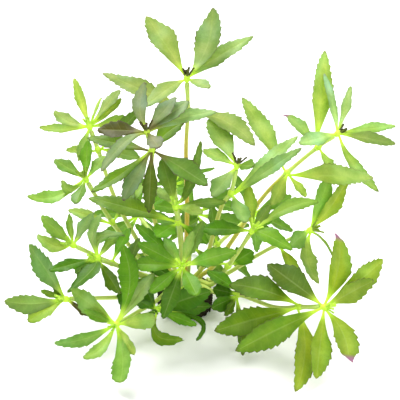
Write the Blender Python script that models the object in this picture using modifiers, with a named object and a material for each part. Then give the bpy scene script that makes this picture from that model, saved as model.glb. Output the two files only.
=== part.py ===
"""A limnophila: a bushy water plant, lifted out whole and standing on its own small root ball.

Every stem is one tube. The leaves of a growing tip are one piece with the small hub that they
grow from, and the leaves of a lower node are one piece with the collar that clasps the stem.
"""

import math

import bmesh
import bpy
from mathutils import Matrix, Vector
from mathutils.bvhtree import BVHTree

MM = 0.001
UP = Vector((0.0, 0.0, 1.0))

# The front view that the shoots are laid out in. It looks down at the plant from the front,
# its places are counted across and down from its top left corner, and one unit is a real size.
VIEW_UNIT = 0.556 * MM
VIEW_MIDDLE = (200.0, 200.0)
VIEW_FOOT = (185.0, 308.0)
VIEW_TILT = math.radians(25.0)
VIEW_DISTANCE = 850.0 * MM

# The root ball
BALL_RADIUS = 15.0 * MM
BALL_HEIGHT = 14.0 * MM
BALL_TOP_RADIUS = 13.4 * MM
BALL_FLAT_RADIUS = 12.6 * MM
BALL_EDGE = 1.2 * MM
BALL_SHOULDER_SHARE = 0.72
BALL_BELLY_SHARE = 0.42
BALL_STEPS = 16
MERGE_WITHIN = 0.01 * MM

# Stems
STEM_RADIUS = 1.3 * MM
STEM_TIP_SHARE = 0.75
STEM_SPACING = 18.0 * MM
RINGS = {"inner": 3.2 * MM, "middle": 7.5 * MM, "outer": 11.6 * MM}
FOOT_RISE = 5.0 * MM
FOOT_LEAN = 0.3
GAP = 0.3 * MM

# Hubs and collars
HUB_RADIUS = 2.1 * MM
HUB_TURN = math.radians(11.0)
HUB_SIDES = 6
HUB_RINGS = 3
COLLAR_WALL = 1.2 * MM
COLLAR_HEIGHT = 3.0 * MM
COLLAR_SIDES = 5

# Leaves
BLADE_THICK = 0.9 * MM
STALK_WIDE = 1.3 * MM
STALK_THICK = 1.1 * MM
FOLD = 0.22
BOW = 0.02
BOW_FROM_STEM = 0.3
LONGER_THAN_SEEN = 1.05
WIDEST_SHARE = 0.4
FACING_AT_LEAST = 0.8
FLOOR_CLEAR = 0.1 * MM
ROOT_DEPTH = 0.6
ROOT_DEPTH_STEP = 0.04
ROOT_DEPTHS = 4
STATIONS_LONG = ((0.0, 0.0), (0.14, 0.12), (0.36, 0.78), (0.62, 1.05), (0.84, 0.66))
STATIONS_SHORT = ((0.0, 0.0), (0.3, 0.58), (0.6, 1.05), (0.83, 0.66))
STATIONS_TINY = ((0.0, 0.0), (0.45, 0.95), (0.8, 0.8))
SHORT_LEAF = 36.0 * MM
TINY_LEAF = 20.0 * MM

# Leaves of the shoots behind swing a little to and fro round an even fan.
SWING = 0.13
SWING_STEP = 2.4
SWING_BEARING = 60.0
SWING_RISE = 70.0

# A leaf that meets another is moved a step at a time until it is clear.
TEST_MARGIN = 0.45 * MM
TEST_SIDES = 6
TEST_HEIGHT = 0.8
OUTER_FROM = 2
SIDE_STEP = 3.0 * MM
RISE_STEP = 5.0
TRIES = 9
NEARLY_ZERO = 1e-6

# Directions of the front view
RIGHT = Vector((1.0, 0.0, 0.0))
TOWARD = Vector((0.0, -math.cos(VIEW_TILT), math.sin(VIEW_TILT)))
VIEW_UP = Vector((0.0, math.sin(VIEW_TILT), math.cos(VIEW_TILT)))
VIEW_CENTRE = (
    RIGHT * (VIEW_MIDDLE[0] - VIEW_FOOT[0]) * VIEW_UNIT
    + VIEW_UP * (VIEW_FOOT[1] - VIEW_MIDDLE[1]) * VIEW_UNIT
)
EYE = VIEW_CENTRE + TOWARD * VIEW_DISTANCE


def sight(across, down):
    """The direction from the eye through a place of the front view."""
    target = VIEW_CENTRE + RIGHT * (across - VIEW_MIDDLE[0]) * VIEW_UNIT
    target += VIEW_UP * (VIEW_MIDDLE[1] - down) * VIEW_UNIT
    return (target - EYE).normalized()


def seen(across, down, back):
    """The point seen at a place of the front view that lies back millimetres behind the foot."""
    ray = sight(across, down)
    return EYE + ray * ((back * MM - EYE.y) / ray.y)


def at(x, y, z):
    """A point given in millimetres."""
    return Vector((x, y, z)) * MM


def leaf(across, down, wide, long=0.0, away=None, via=None):
    """A leaf by where its tip is seen, with its seen width and true length in millimetres."""
    return {"tip": (across, down), "wide": wide * MM, "long": long * MM, "away": away, "via": via}


def fan(count, long, wide, rise, turn=0.0, droop=0.0):
    """Leaves spread evenly round a stem, rising at an angle from square to it."""
    leaves = []
    for index in range(count):
        swing = SWING * math.sin(SWING_STEP * index + turn)
        leaves.append({
            "bearing": turn + 360.0 * index / count + SWING_BEARING * swing,
            "rise": rise + SWING_RISE * swing,
            "long": long * (1.0 - abs(swing)) * MM,
            "wide": wide * (1.0 - abs(swing)) * MM,
            "droop": droop,
        })
    return leaves


def shoot(name, ring, bearing, route, tip, nodes=None):
    """One stem from its foot on the root ball, the leaves at its tip, and those at lower nodes."""
    angle = math.radians(bearing)
    out = Vector((math.cos(angle), math.sin(angle), 0.0))
    foot = out * RINGS[ring] + UP * (BALL_HEIGHT + GAP)
    rise = foot + UP * FOOT_RISE + out * FOOT_LEAN * FOOT_RISE
    return {"name": name, "route": [foot, rise] + route, "tip": tip, "nodes": nodes or {}}


# The shoots. The keys of nodes count the points of route, from 0.
SHOOTS = [
    shoot("tall", "inner", 90,
          [seen(187, 215, 7), seen(186, 150, 16), seen(188, 111, 22), seen(187, 83, 25)],
          [leaf(146, 16, 13.0), leaf(213, 7, 13.3, via=(207, 47)), leaf(254, 36, 9.5, via=(213, 60)),
           leaf(210, 88, 6.0, long=20, away=False), leaf(145, 107, 11.0, via=(168, 89))],
          {2: [leaf(102, 73, 9.5), leaf(255, 146, 10.0, via=(226, 122))]}),
    shoot("purple", "inner", 215,
          [seen(166, 262, -8), seen(151, 200, -10), seen(152, 151, -12), seen(148, 136, -13)],
          [leaf(145, 82, 7.6, via=(140, 108)), leaf(176, 97, 9.0), leaf(189, 101, 9.0),
           leaf(217, 112, 7.0, via=(183, 118)), leaf(97, 130, 8.5),
           leaf(159, 148, 8.0, long=16, away=False), leaf(101, 172, 6.0, via=(124, 143))],
          {2: [leaf(208, 186, 10.5), leaf(123, 201, 8.3), leaf(149, 213, 7.2),
               leaf(91, 192, 5.8, via=(120, 175)), leaf(87, 138, 7.5, away=True),
               leaf(183, 123, 10.5, via=(165, 135), away=True)]}),
    shoot("upper_left", "middle", 143,
          [seen(152, 262, 2), seen(118, 205, 18), seen(98, 150, 34), seen(91, 131, 39)],
          [leaf(74, 78, 5.6), leaf(120, 90, 5.6, via=(108, 104)),
           leaf(54, 111, 7.0, via=(69, 122)),
           leaf(39, 127, 4.5, via=(63, 129)), leaf(134, 120, 6.5, away=True), leaf(79, 161, 5.8),
           leaf(101, 98, 1.8, long=20), leaf(121, 98, 4.0, via=(109, 112))],
          {2: [leaf(66, 150, 4.5), leaf(140, 158, 8.0, away=True), leaf(142, 108, 6.4)]}),
    shoot("left", "middle", 164,
          [seen(150, 270, 2), seen(112, 222, 5), seen(88, 183, 8)],
          [leaf(88, 140, 7.5), leaf(54, 160, 8.5), leaf(106, 156, 7.0),
           leaf(27, 196, 7.0, via=(54, 197)),
           leaf(76, 204, 7.8, long=20), leaf(62, 180, 4.5, long=16, via=(71, 190))],
          {1: [leaf(68, 210, 5.6), leaf(134, 190, 7.0, away=True),
               leaf(146, 182, 6.0, away=True)]}),
    shoot("left_middle", "outer", 193,
          [seen(150, 277, -9), seen(112, 263, -12), seen(77, 247, -14)],
          [leaf(41, 216, 8.0), leaf(37, 235, 7.5, via=(55, 246)), leaf(69, 214, 4.5),
           leaf(93, 213, 6.2), leaf(52, 223, 5.0, long=24, away=True),
           leaf(84, 229, 3.2, long=13)],
          {1: [leaf(130, 228, 6.0, away=True)]}),
    shoot("low_left", "outer", 209,
          [seen(150, 293, -20), seen(121, 297, -28), seen(99, 298, -34), seen(70, 299, -40)],
          [leaf(4, 301, 9.5, via=(33, 304)), leaf(28, 322, 7.0), leaf(29, 244, 11.0),
           leaf(41, 291, 3.5, long=17), leaf(50, 281, 4.0, long=15, away=True),
           leaf(92, 316, 4.5)]),
    shoot("front_left", "outer", 239,
          [seen(156, 301, -34), seen(136, 313, -52), seen(119, 323, -65)],
          [leaf(71, 289, 10.5), leaf(54, 343, 6.8, via=(84, 339)),
           leaf(83, 358, 6.0, via=(101, 348)), leaf(120, 383, 11.5, via=(123, 358)),
           leaf(135, 354, 5.0, long=20), leaf(156, 319, 8.0), leaf(154, 273, 7.2),
           leaf(122, 244, 9.5, via=(130, 284)), leaf(84, 311, 5.0)]),
    shoot("inner_left", "middle", 218,
          [seen(158, 284, -18), seen(128, 270, -22), seen(101, 260, -25)],
          [leaf(124, 235, 5.2, via=(99, 238)), leaf(121, 294, 9.5),
           leaf(102, 214, 5.2, via=(93, 233)), leaf(76, 274, 7.5),
           leaf(67, 293, 8.0, via=(92, 270)), leaf(119, 234, 4.5), leaf(49, 271, 5.8)],
          {1: [leaf(139, 238, 7.0, away=True), leaf(133, 296, 7.0),
               leaf(150, 266, 7.0, away=True), leaf(148, 304, 7.5, long=24), leaf(124, 313, 7.0)]}),
    shoot("creeping", "outer", 258,
          [seen(172, 297, -28), seen(158, 308, -42)],
          [leaf(183, 339, 6.2, via=(157, 335)), leaf(196, 341, 2.8, via=(200, 320)),
           leaf(211, 291, 11.5, long=32, away=False), leaf(211, 306, 9.0, long=32),
           leaf(146, 288, 6.0, away=True), leaf(197, 325, 5.5),
           leaf(138, 300, 7.5, away=True)]),
    shoot("centre", "outer", 277,
          [seen(181, 285, -30), seen(182, 268, -50)],
          [leaf(134, 264, 7.2), leaf(150, 293, 6.2), leaf(197, 296, 8.0, long=24),
           leaf(237, 251, 8.5), leaf(193, 231, 5.0), leaf(203, 221, 7.0), leaf(164, 237, 5.6),
           leaf(135, 224, 6.2), leaf(137, 243, 7.5, away=False), leaf(163, 319, 8.5)],
          {0: [leaf(131, 284, 8.0), leaf(141, 257, 7.5, away=True)]}),
    shoot("middle", "middle", 262,
          [seen(182, 262, -17), seen(178, 222, -26), seen(176, 210, -28)],
          [leaf(162, 158, 9.5), leaf(201, 140, 5.6, via=(190, 186)), leaf(226, 202, 5.0),
           leaf(203, 213, 7.0), leaf(155, 187, 5.5, long=26)],
          {1: [leaf(88, 198, 9.5), leaf(156, 237, 11.0, long=24), leaf(208, 244, 7.0)]}),
    shoot("middle_right", "inner", 340,
          [seen(205, 262, -4), seen(221, 208, -8), seen(231, 193, -8), seen(236, 170, -7)],
          [leaf(208, 119, 13.0), leaf(203, 150, 8.0, away=True), leaf(254, 166, 8.0, long=18),
           leaf(212, 197, 10.5)],
          {2: [leaf(298, 136, 7.0), leaf(302, 148, 6.5, away=False), leaf(245, 223, 10.5, long=24)]}),
    shoot("right_centre", "middle", 334,
          [seen(213, 284, -16), seen(228, 266, -21), seen(239, 251, -24), seen(250, 234, -27)],
          [leaf(248, 183, 6.7), leaf(201, 229, 8.0), leaf(319, 202, 6.7, via=(288, 208)),
           leaf(270, 205, 5.6), leaf(273, 217, 4.5, long=17), leaf(293, 250, 10.5, via=(266, 235))],
          {1: [leaf(253, 251, 11.5, long=24), leaf(196, 262, 7.0, away=True)]}),
    shoot("right_middle", "outer", 350,
          [seen(216, 280, -4), seen(258, 255, -9), seen(279, 244, -11), seen(306, 232, -12)],
          [leaf(331, 172, 9.0), leaf(349, 176, 8.4, via=(331, 206)), leaf(290, 246, 9.5, long=20),
           leaf(319, 284, 8.5, via=(307, 258)), leaf(333, 256, 1.4, via=(323, 240))],
          {2: [leaf(298, 277, 7.0), leaf(262, 226, 6.0, away=True)]}),
    shoot("far_right", "middle", 12,
          [seen(217, 262, 3), seen(260, 201, 10), seen(287, 173, 13), seen(318, 147, 16),
           seen(334, 136, 18)],
          [leaf(324, 73, 4.5, via=(333, 108)), leaf(351, 86, 5.0), leaf(396, 126, 5.6),
           leaf(396, 144, 6.2), leaf(299, 144, 8.3, away=False),
           leaf(379, 192, 6.7, via=(354, 166))],
          {2: [leaf(242, 97, 10.5), leaf(374, 178, 10.0), leaf(271, 205, 8.3, long=23),
               leaf(306, 197, 4.5)],
           3: [leaf(325, 50, 11.5), leaf(286, 113, 6.7), leaf(333, 173, 6.7)]}),
    shoot("low_right", "outer", 312,
          [seen(217, 293, -24), seen(238, 294, -34), seen(274, 307, -47), seen(299, 307, -57),
           seen(320, 307, -63)],
          [leaf(338, 233, 12.8, via=(338, 268)), leaf(383, 259, 12.0, via=(359, 281)),
           leaf(374, 280, 12.0), leaf(348, 362, 12.5, via=(343, 334)), leaf(316, 379, 11.0),
           leaf(235, 351, 13.0), leaf(267, 264, 15.5)],
          {3: [leaf(295, 392, 12.0, via=(305, 350)), leaf(214, 331, 13.0),
               leaf(229, 285, 14.5, via=(262, 290))],
           1: [leaf(243, 356, 6.0), leaf(211, 308, 9.5), leaf(225, 316, 5.5),
               leaf(207, 271, 7.0), leaf(213, 289, 8.0, away=True)]}),
    shoot("back_left", "outer", 118,
          [at(-13, 24, 26), at(-26, 50, 32)],
          fan(7, 31, 8.5, 10, turn=15, droop=0.3),
          {0: fan(3, 30, 8.5, 5, turn=70, droop=0.4)}),
    shoot("back_middle", "outer", 82,
          [at(3, 28, 25), at(6, 62, 27)],
          fan(7, 33, 9.0, 10, turn=0, droop=0.3),
          {0: fan(3, 30, 9.0, 0, turn=30, droop=0.4)}),
    shoot("back_right", "outer", 48,
          [at(18, 24, 27), at(38, 50, 33)],
          fan(7, 31, 8.5, 10, turn=40, droop=0.3),
          {0: fan(3, 30, 8.5, 5, turn=10, droop=0.4)}),
    shoot("back_tall", "middle", 98,
          [at(-2, 16, 36), at(-6, 32, 58)],
          fan(6, 29, 8.0, 15, turn=20, droop=0.3)),
]


def spline(points, spacing):
    """A smooth line through the points, as samples about a spacing apart."""
    first = points[0] * 2.0 - points[1]
    last = points[-1] * 2.0 - points[-2]
    guides = [first] + points + [last]
    samples = [points[0].copy()]
    for index in range(1, len(guides) - 2):
        before, start, end, after = guides[index - 1:index + 3]
        steps = max(1, round((end - start).length / spacing))
        for step in range(1, steps + 1):
            share = step / steps
            pull_in = (end - before) * 0.5
            pull_out = (after - start) * 0.5
            samples.append(
                start * (2 * share**3 - 3 * share**2 + 1)
                + pull_in * (share**3 - 2 * share**2 + share)
                + end * (3 * share**2 - 2 * share**3)
                + pull_out * (share**3 - share**2)
            )
    return samples


def axis_at(points, index):
    """The direction of a stem at one of its route's points."""
    before = points[max(index - 1, 0)]
    after = points[min(index + 1, len(points) - 1)]
    return (after - before).normalized()


def radius_at(share):
    """A stem's radius at a share of its length."""
    return STEM_RADIUS * (1.0 - (1.0 - STEM_TIP_SHARE) * share)


def across_from(direction, axis):
    """The part of a direction that is square to an axis, at unit length."""
    square = direction - axis * direction.dot(axis)
    if square.length < NEARLY_ZERO:
        square = axis.orthogonal()
    return square.normalized()


def midrib(base, tip, axis, plan):
    """The three points that a leaf's midrib bends through."""
    chord = tip - base
    if plan.get("via"):
        ray = sight(*plan["via"])
        middle = (base + tip) * 0.5
        seen_point = EYE + ray * ((middle - EYE).dot(TOWARD) / ray.dot(TOWARD))
        return base, seen_point * 2.0 - middle, tip
    direction = chord.normalized()
    lift = UP - direction * UP.dot(direction)
    lift += across_from(axis, direction) * BOW_FROM_STEM
    return base, base + chord * 0.5 + lift * chord.length * BOW, tip


def bend(points, share):
    """The place and direction at a share of a midrib."""
    base, control, tip = points
    rest = 1.0 - share
    place = base * rest**2 + control * 2.0 * rest * share + tip * share**2
    direction = (control - base) * rest + (tip - control) * share
    return place, direction.normalized()


def facing(direction, axis, plan):
    """The upper side's direction, and the leaf's true width, so that it is seen as wide as told."""
    natural = across_from(axis, direction)
    wide = plan["wide"]
    if "tip" not in plan:
        return natural, wide
    best = across_from(TOWARD, direction)
    if natural.dot(best) < 0.0:
        best = -best
    angle = math.acos(min(1.0, natural.dot(best)))
    limit = math.acos(FACING_AT_LEAST)
    if angle > limit:
        natural = natural.slerp(best, (angle - limit) / angle)
        angle = limit
    return natural, wide / math.cos(angle)


def blade(base, tip, axis, plan, grow=0.0, start=0):
    """The points and faces of one leaf: lens sections along the midrib, closed by its tip."""
    points = midrib(base, tip, axis, plan)
    length = (tip - base).length
    upper, wide = facing((tip - base).normalized(), axis, plan)
    wide = min(wide, max(plan["wide"], WIDEST_SHARE * length))
    grooved = length > SHORT_LEAF
    stations = STATIONS_LONG if grooved else STATIONS_SHORT
    if length < TINY_LEAF:
        stations = STATIONS_TINY
    stations = stations[min(start, len(stations) - 2):]
    corners = []
    for share, spread in stations:
        place, direction = bend(points, share)
        normal = across_from(upper, direction)
        side = direction.cross(normal)
        half = STALK_WIDE * 0.5 * (1.0 - spread) + wide * 0.5 * spread + grow
        thick = STALK_THICK * 0.5 * (1.0 - spread) + BLADE_THICK * 0.5 * spread + grow
        edge = normal * half * FOLD * spread
        ring = [place + side * half + edge, place - normal * thick, place - side * half + edge]
        if grooved:
            ring.append(place + normal * thick)
        sunk = min(corner.z for corner in ring) - FLOOR_CLEAR - grow
        if sunk < 0.0 and not grow:
            ring = [corner - UP * sunk for corner in ring]
        corners.extend(ring)
    end = tip + (tip - points[1]).normalized() * grow
    end.z = max(end.z, FLOOR_CLEAR + BLADE_THICK * 0.5)
    corners.append(end)
    around = len(ring)
    count = len(stations)
    faces = [tuple(range(around - 1, -1, -1))]
    for row in range(count - 1):
        for corner in range(around):
            near = row * around + corner
            next_near = row * around + (corner + 1) % around
            faces.append((near, next_near, next_near + around, near + around))
    last = (count - 1) * around
    for corner in range(around):
        faces.append((last + corner, last + (corner + 1) % around, len(corners) - 1))
    return corners, faces


def tip_choices(base, axis, plan):
    """The places that a leaf's tip may take, best first, all seen at the same place."""
    order = [0]
    for step in range(1, TRIES):
        order += [step, -step]
    if "tip" not in plan:
        swing = Matrix.Rotation(math.radians(plan["bearing"]), 3, axis)
        out = swing @ across_from(RIGHT, axis)
        for step in order:
            rise = math.radians(plan["rise"] + RISE_STEP * step)
            direction = out * math.cos(rise) + axis * math.sin(rise)
            direction = (direction - UP * plan["droop"]).normalized()
            end = base + direction * plan["long"]
            end.z = max(end.z, FLOOR_CLEAR + BLADE_THICK * 0.5)
            yield end
        return
    ray = sight(*plan["tip"])
    closest = EYE + ray * (base - EYE).dot(ray)
    seen_length = (closest - base).length
    long = max(plan["long"], seen_length * LONGER_THAN_SEEN)
    slack = math.sqrt(long**2 - seen_length**2)
    away = plan["away"]
    if away is None:
        away = (closest - base).dot(VIEW_UP) > 0.0
    for step in order:
        end = closest + ray * ((slack if away else -slack) + step * SIDE_STEP)
        low = FLOOR_CLEAR + BLADE_THICK * 0.5
        if end.z < low:
            end += ray * ((low - end.z) / ray.z)
        yield end


def tube(samples, grow):
    """A plain tube round a stem's line, used to keep leaves clear of the stem."""
    corners = []
    faces = []
    for index, sample in enumerate(samples):
        axis = axis_at(samples, index)
        across = across_from(RIGHT, axis)
        other = axis.cross(across)
        for side in range(TEST_SIDES):
            angle = math.tau * side / TEST_SIDES
            spoke = across * math.cos(angle) + other * math.sin(angle)
            corners.append(sample + spoke * (STEM_RADIUS + grow))
    for index in range(len(samples) - 1):
        for side in range(TEST_SIDES):
            near = index * TEST_SIDES + side
            after = index * TEST_SIDES + (side + 1) % TEST_SIDES
            faces.append((near, after, after + TEST_SIDES, near + TEST_SIDES))
    return corners, faces


def tree_of(shapes):
    """One search tree over several shapes, or None over none."""
    corners = []
    faces = []
    for shape_corners, shape_faces in shapes:
        shift = len(corners)
        corners.extend(shape_corners)
        faces.extend(tuple(index + shift for index in face) for face in shape_faces)
    return BVHTree.FromPolygons(corners, faces) if faces else None


def crosses(shape, tree):
    """Whether a shape meets what a search tree holds."""
    return tree is not None and bool(BVHTree.FromPolygons(*shape).overlap(tree))


def block(centre, axis):
    """A short six-sided block round a hub or collar, used to keep the leaves of others clear."""
    half = axis * TEST_HEIGHT * (HUB_RADIUS + COLLAR_WALL)
    across = axis.orthogonal().normalized()
    other = axis.cross(across)
    corners = []
    for lift in (-half, half):
        for side in range(TEST_SIDES):
            angle = math.tau * side / TEST_SIDES
            spoke = across * math.cos(angle) + other * math.sin(angle)
            corners.append(centre + lift + spoke * (HUB_RADIUS + COLLAR_WALL))
    faces = [tuple(range(TEST_SIDES - 1, -1, -1)), tuple(range(TEST_SIDES, 2 * TEST_SIDES))]
    for side in range(TEST_SIDES):
        after = (side + 1) % TEST_SIDES
        faces.append((side, after, after + TEST_SIDES, side + TEST_SIDES))
    return corners, faces


def whorl_of(plan, part, stem, centre, axis, leaves, radius=0.0):
    """A whorl whose leaves are still to be placed; a growing tip has no radius."""
    return {"name": plan["name"] + part, "stem": stem, "centre": centre, "axis": axis,
            "plans": leaves, "radius": radius, "leaves": []}


def list_pieces():
    """Every stem, and every whorl with nothing placed on it yet."""
    stems = []
    whorls = []
    for number, plan in enumerate(SHOOTS):
        route = plan["route"]
        samples = spline(route, STEM_SPACING)
        stems.append({"name": plan["name"], "samples": samples})
        axis = (samples[-1] - samples[-2]).normalized()
        centre = samples[-1] + axis * (GAP + HUB_RADIUS)
        whorls.append(whorl_of(plan, "_tip_leaves", number, centre, axis, plan["tip"]))
        for rank, (index, leaves) in enumerate(sorted(plan["nodes"].items(), reverse=True)):
            part = ("_lower_leaves", "_base_leaves")[rank]
            point = index + 2
            radius = radius_at(point / (len(route) - 1))
            axis = axis_at(route, point)
            whorls.append(whorl_of(plan, part, number, route[point], axis, leaves, radius))
    return stems, whorls


def root_of(whorl, end):
    """Where a leaf starts, inside the hub or the collar that it grows from."""
    if whorl["radius"]:
        out = across_from(end - whorl["centre"], whorl["axis"])
        return whorl["centre"] + out * (whorl["radius"] + GAP + COLLAR_WALL * 0.5)
    depth = ROOT_DEPTH + ROOT_DEPTH_STEP * (len(whorl["leaves"]) % ROOT_DEPTHS)
    return whorl["centre"] + (end - whorl["centre"]).normalized() * HUB_RADIUS * depth


def place(whorl, plan, strangers, bare_stem, mates):
    """The base and tip of a leaf that is clear of all that is there, or None."""
    axis = whorl["axis"]
    for end in tip_choices(whorl["centre"], axis, plan):
        base = root_of(whorl, end)
        if crosses(blade(base, end, axis, plan, TEST_MARGIN), strangers):
            continue
        if crosses(blade(base, end, axis, plan), bare_stem):
            continue
        if crosses(blade(base, end, axis, plan, TEST_MARGIN, OUTER_FROM), mates):
            continue
        return base, end
    return None


def lay_out():
    """Every stem and every whorl of leaves, with each leaf placed clear of the others."""
    stems, whorls = list_pieces()
    stem_shapes = [tube(stem["samples"], TEST_MARGIN) for stem in stems]
    blocks = [block(whorl["centre"], whorl["axis"]) for whorl in whorls]
    placed = []
    for number, whorl in enumerate(whorls):
        own = whorl["stem"]
        others = [shape for index, shape in enumerate(stem_shapes) if index != own]
        others += [shape for index, shape in enumerate(blocks) if index != number]
        strangers = tree_of(others + placed)
        bare_stem = tree_of([tube(stems[own]["samples"], GAP * 0.5)])
        mates = [stem_shapes[own]]
        for plan in whorl["plans"]:
            found = place(whorl, plan, strangers, bare_stem, tree_of(mates))
            if found is None:
                continue
            base, end = found
            whorl["leaves"].append({"base": base, "tip": end, "plan": plan})
            placed.append(blade(base, end, whorl["axis"], plan))
            mates.append(blade(base, end, whorl["axis"], plan, TEST_MARGIN, OUTER_FROM))
    return stems, whorls


def material(name, colour, roughness):
    """A plain material."""
    made = bpy.data.materials.new(name)
    made.use_nodes = True
    shader = made.node_tree.nodes["Principled BSDF"]
    shader.inputs["Base Color"].default_value = (*colour, 1.0)
    shader.inputs["Roughness"].default_value = roughness
    return made


def new_object(name, mesh, collection):
    """An object in a collection."""
    made = bpy.data.objects.new(name, mesh)
    collection.objects.link(made)
    return made


def mesh_from(name, corners, faces):
    """A mesh whose faces point out."""
    work = bmesh.new()
    points = [work.verts.new(corner) for corner in corners]
    for face in faces:
        work.faces.new([points[index] for index in face])
    bmesh.ops.triangulate(work, faces=work.faces[:])
    if work.calc_volume(signed=True) < 0.0:
        bmesh.ops.reverse_faces(work, faces=work.faces[:])
    mesh = bpy.data.meshes.new(name)
    work.to_mesh(mesh)
    work.free()
    return mesh


def frame_along(centre, axis):
    """A placing whose Z runs along an axis."""
    turn = axis.to_track_quat("Z", "Y").to_matrix().to_4x4()
    return Matrix.Translation(centre) @ turn


def hub_mesh(whorl):
    """The small knob at a stem's end that the youngest leaves grow from."""
    work = bmesh.new()
    bmesh.ops.create_uvsphere(work, u_segments=HUB_SIDES, v_segments=HUB_RINGS,
                              radius=HUB_RADIUS)
    bmesh.ops.rotate(work, matrix=Matrix.Rotation(HUB_TURN, 3, "Z"), verts=work.verts[:])
    bmesh.ops.transform(work, matrix=frame_along(whorl["centre"], whorl["axis"]),
                        verts=work.verts[:])
    mesh = bpy.data.meshes.new("hub")
    work.to_mesh(mesh)
    work.free()
    return mesh


def collar_mesh(whorl):
    """The ring of leaf bases that clasps a stem."""
    inner = (whorl["radius"] + GAP) / math.cos(math.pi / COLLAR_SIDES)
    rings = ((inner, -0.5), (inner + COLLAR_WALL, -0.5), (inner + COLLAR_WALL, 0.5), (inner, 0.5))
    placing = frame_along(whorl["centre"], whorl["axis"])
    corners = []
    for radius, lift in rings:
        for side in range(COLLAR_SIDES):
            angle = math.tau * side / COLLAR_SIDES + HUB_TURN
            spoke = Vector((math.cos(angle) * radius, math.sin(angle) * radius,
                            lift * COLLAR_HEIGHT))
            corners.append(placing @ spoke)
    faces = []
    for ring in range(4):
        for side in range(COLLAR_SIDES):
            after = (side + 1) % COLLAR_SIDES
            here = ring * COLLAR_SIDES
            there = (ring + 1) % 4 * COLLAR_SIDES
            faces.append((here + side, here + after, there + after, there + side))
    return mesh_from("collar", corners, faces)


def joined(name, meshes, collection):
    """One object from several closed meshes that run into each other."""
    base = new_object(name, meshes[0], collection)
    helpers = []
    for index, mesh in enumerate(meshes[1:]):
        helper = new_object("leaf_" + str(index), mesh, collection)
        helpers.append(helper)
        union = base.modifiers.new("union_" + str(index), "BOOLEAN")
        union.operation = "UNION"
        union.solver = "EXACT"
        union.object = helper
    bpy.context.view_layer.update()
    evaluated = base.evaluated_get(bpy.context.evaluated_depsgraph_get())
    mesh = bpy.data.meshes.new_from_object(evaluated)
    mesh.name = name
    base.modifiers.clear()
    base.data = mesh
    for helper in helpers:
        bpy.data.objects.remove(helper)
    return base


def make_stem(stem, collection, skin):
    """A stem: a tube that thins a little towards its tip."""
    curve = bpy.data.curves.new(stem["name"] + "_stem", "CURVE")
    curve.dimensions = "3D"
    curve.bevel_depth = STEM_RADIUS
    curve.bevel_resolution = 1
    curve.use_fill_caps = True
    line = curve.splines.new("POLY")
    line.points.add(len(stem["samples"]) - 1)
    for index, sample in enumerate(stem["samples"]):
        line.points[index].co = (*sample, 1.0)
        line.points[index].radius = radius_at(index / (len(stem["samples"]) - 1)) / STEM_RADIUS
    curve.materials.append(skin)
    return new_object(stem["name"] + "_stem", curve, collection)


def make_whorl(whorl, collection, skin):
    """The leaves of one growing tip or node, as one piece."""
    core = collar_mesh(whorl) if whorl["radius"] else hub_mesh(whorl)
    meshes = [core]
    for number, entry in enumerate(whorl["leaves"]):
        corners, faces = blade(entry["base"], entry["tip"], whorl["axis"], entry["plan"])
        meshes.append(mesh_from("leaf_" + str(number), corners, faces))
    made = joined(whorl["name"], meshes, collection)
    made.data.materials.clear()
    made.data.materials.append(skin)
    return made


def make_root_ball(collection, skin):
    """The turned mass of roots that the stems stand on, flat beneath."""
    profile = (
        (BALL_TOP_RADIUS, BALL_HEIGHT),
        (BALL_RADIUS - BALL_EDGE, BALL_SHOULDER_SHARE * BALL_HEIGHT),
        (BALL_RADIUS, BALL_BELLY_SHARE * BALL_HEIGHT),
        (BALL_FLAT_RADIUS + BALL_EDGE, BALL_EDGE),
        (BALL_FLAT_RADIUS, 0.0),
    )
    work = bmesh.new()
    points = [work.verts.new((0.0, 0.0, BALL_HEIGHT))]
    points += [work.verts.new((radius, 0.0, height)) for radius, height in profile]
    points.append(work.verts.new((0.0, 0.0, 0.0)))
    for first, second in zip(points, points[1:]):
        work.edges.new((first, second))
    mesh = bpy.data.meshes.new("root_ball")
    work.to_mesh(mesh)
    work.free()
    mesh.materials.append(skin)
    ball = new_object("root_ball", mesh, collection)
    turn = ball.modifiers.new("turn", "SCREW")
    turn.steps = BALL_STEPS
    turn.render_steps = BALL_STEPS
    turn.use_merge_vertices = True
    turn.merge_threshold = MERGE_WITHIN
    return ball


def build():
    """The whole plant."""
    for old in list(bpy.data.objects):
        bpy.data.objects.remove(old)
    collection = bpy.data.collections.new("limnophila")
    bpy.context.scene.collection.children.link(collection)
    root_skin = material("roots", (0.045, 0.03, 0.02), 0.95)
    stem_skin = material("stem", (0.42, 0.44, 0.06), 0.45)
    leaf_skin = material("leaf", (0.2, 0.42, 0.06), 0.5)
    stems, whorls = lay_out()
    make_root_ball(collection, root_skin)
    for stem in stems:
        make_stem(stem, collection, stem_skin)
    for whorl in whorls:
        make_whorl(whorl, collection, leaf_skin)


build()
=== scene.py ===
"""The looks of a bushy limnophila: toothed leaves, stems, growing tips and roots.

The places of the shoots and leaves are the ones that the solids have.
"""

import math
import random

import bmesh
import bpy
from mathutils import Color, Matrix, Vector, noise
from mathutils.bvhtree import BVHTree


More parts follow.
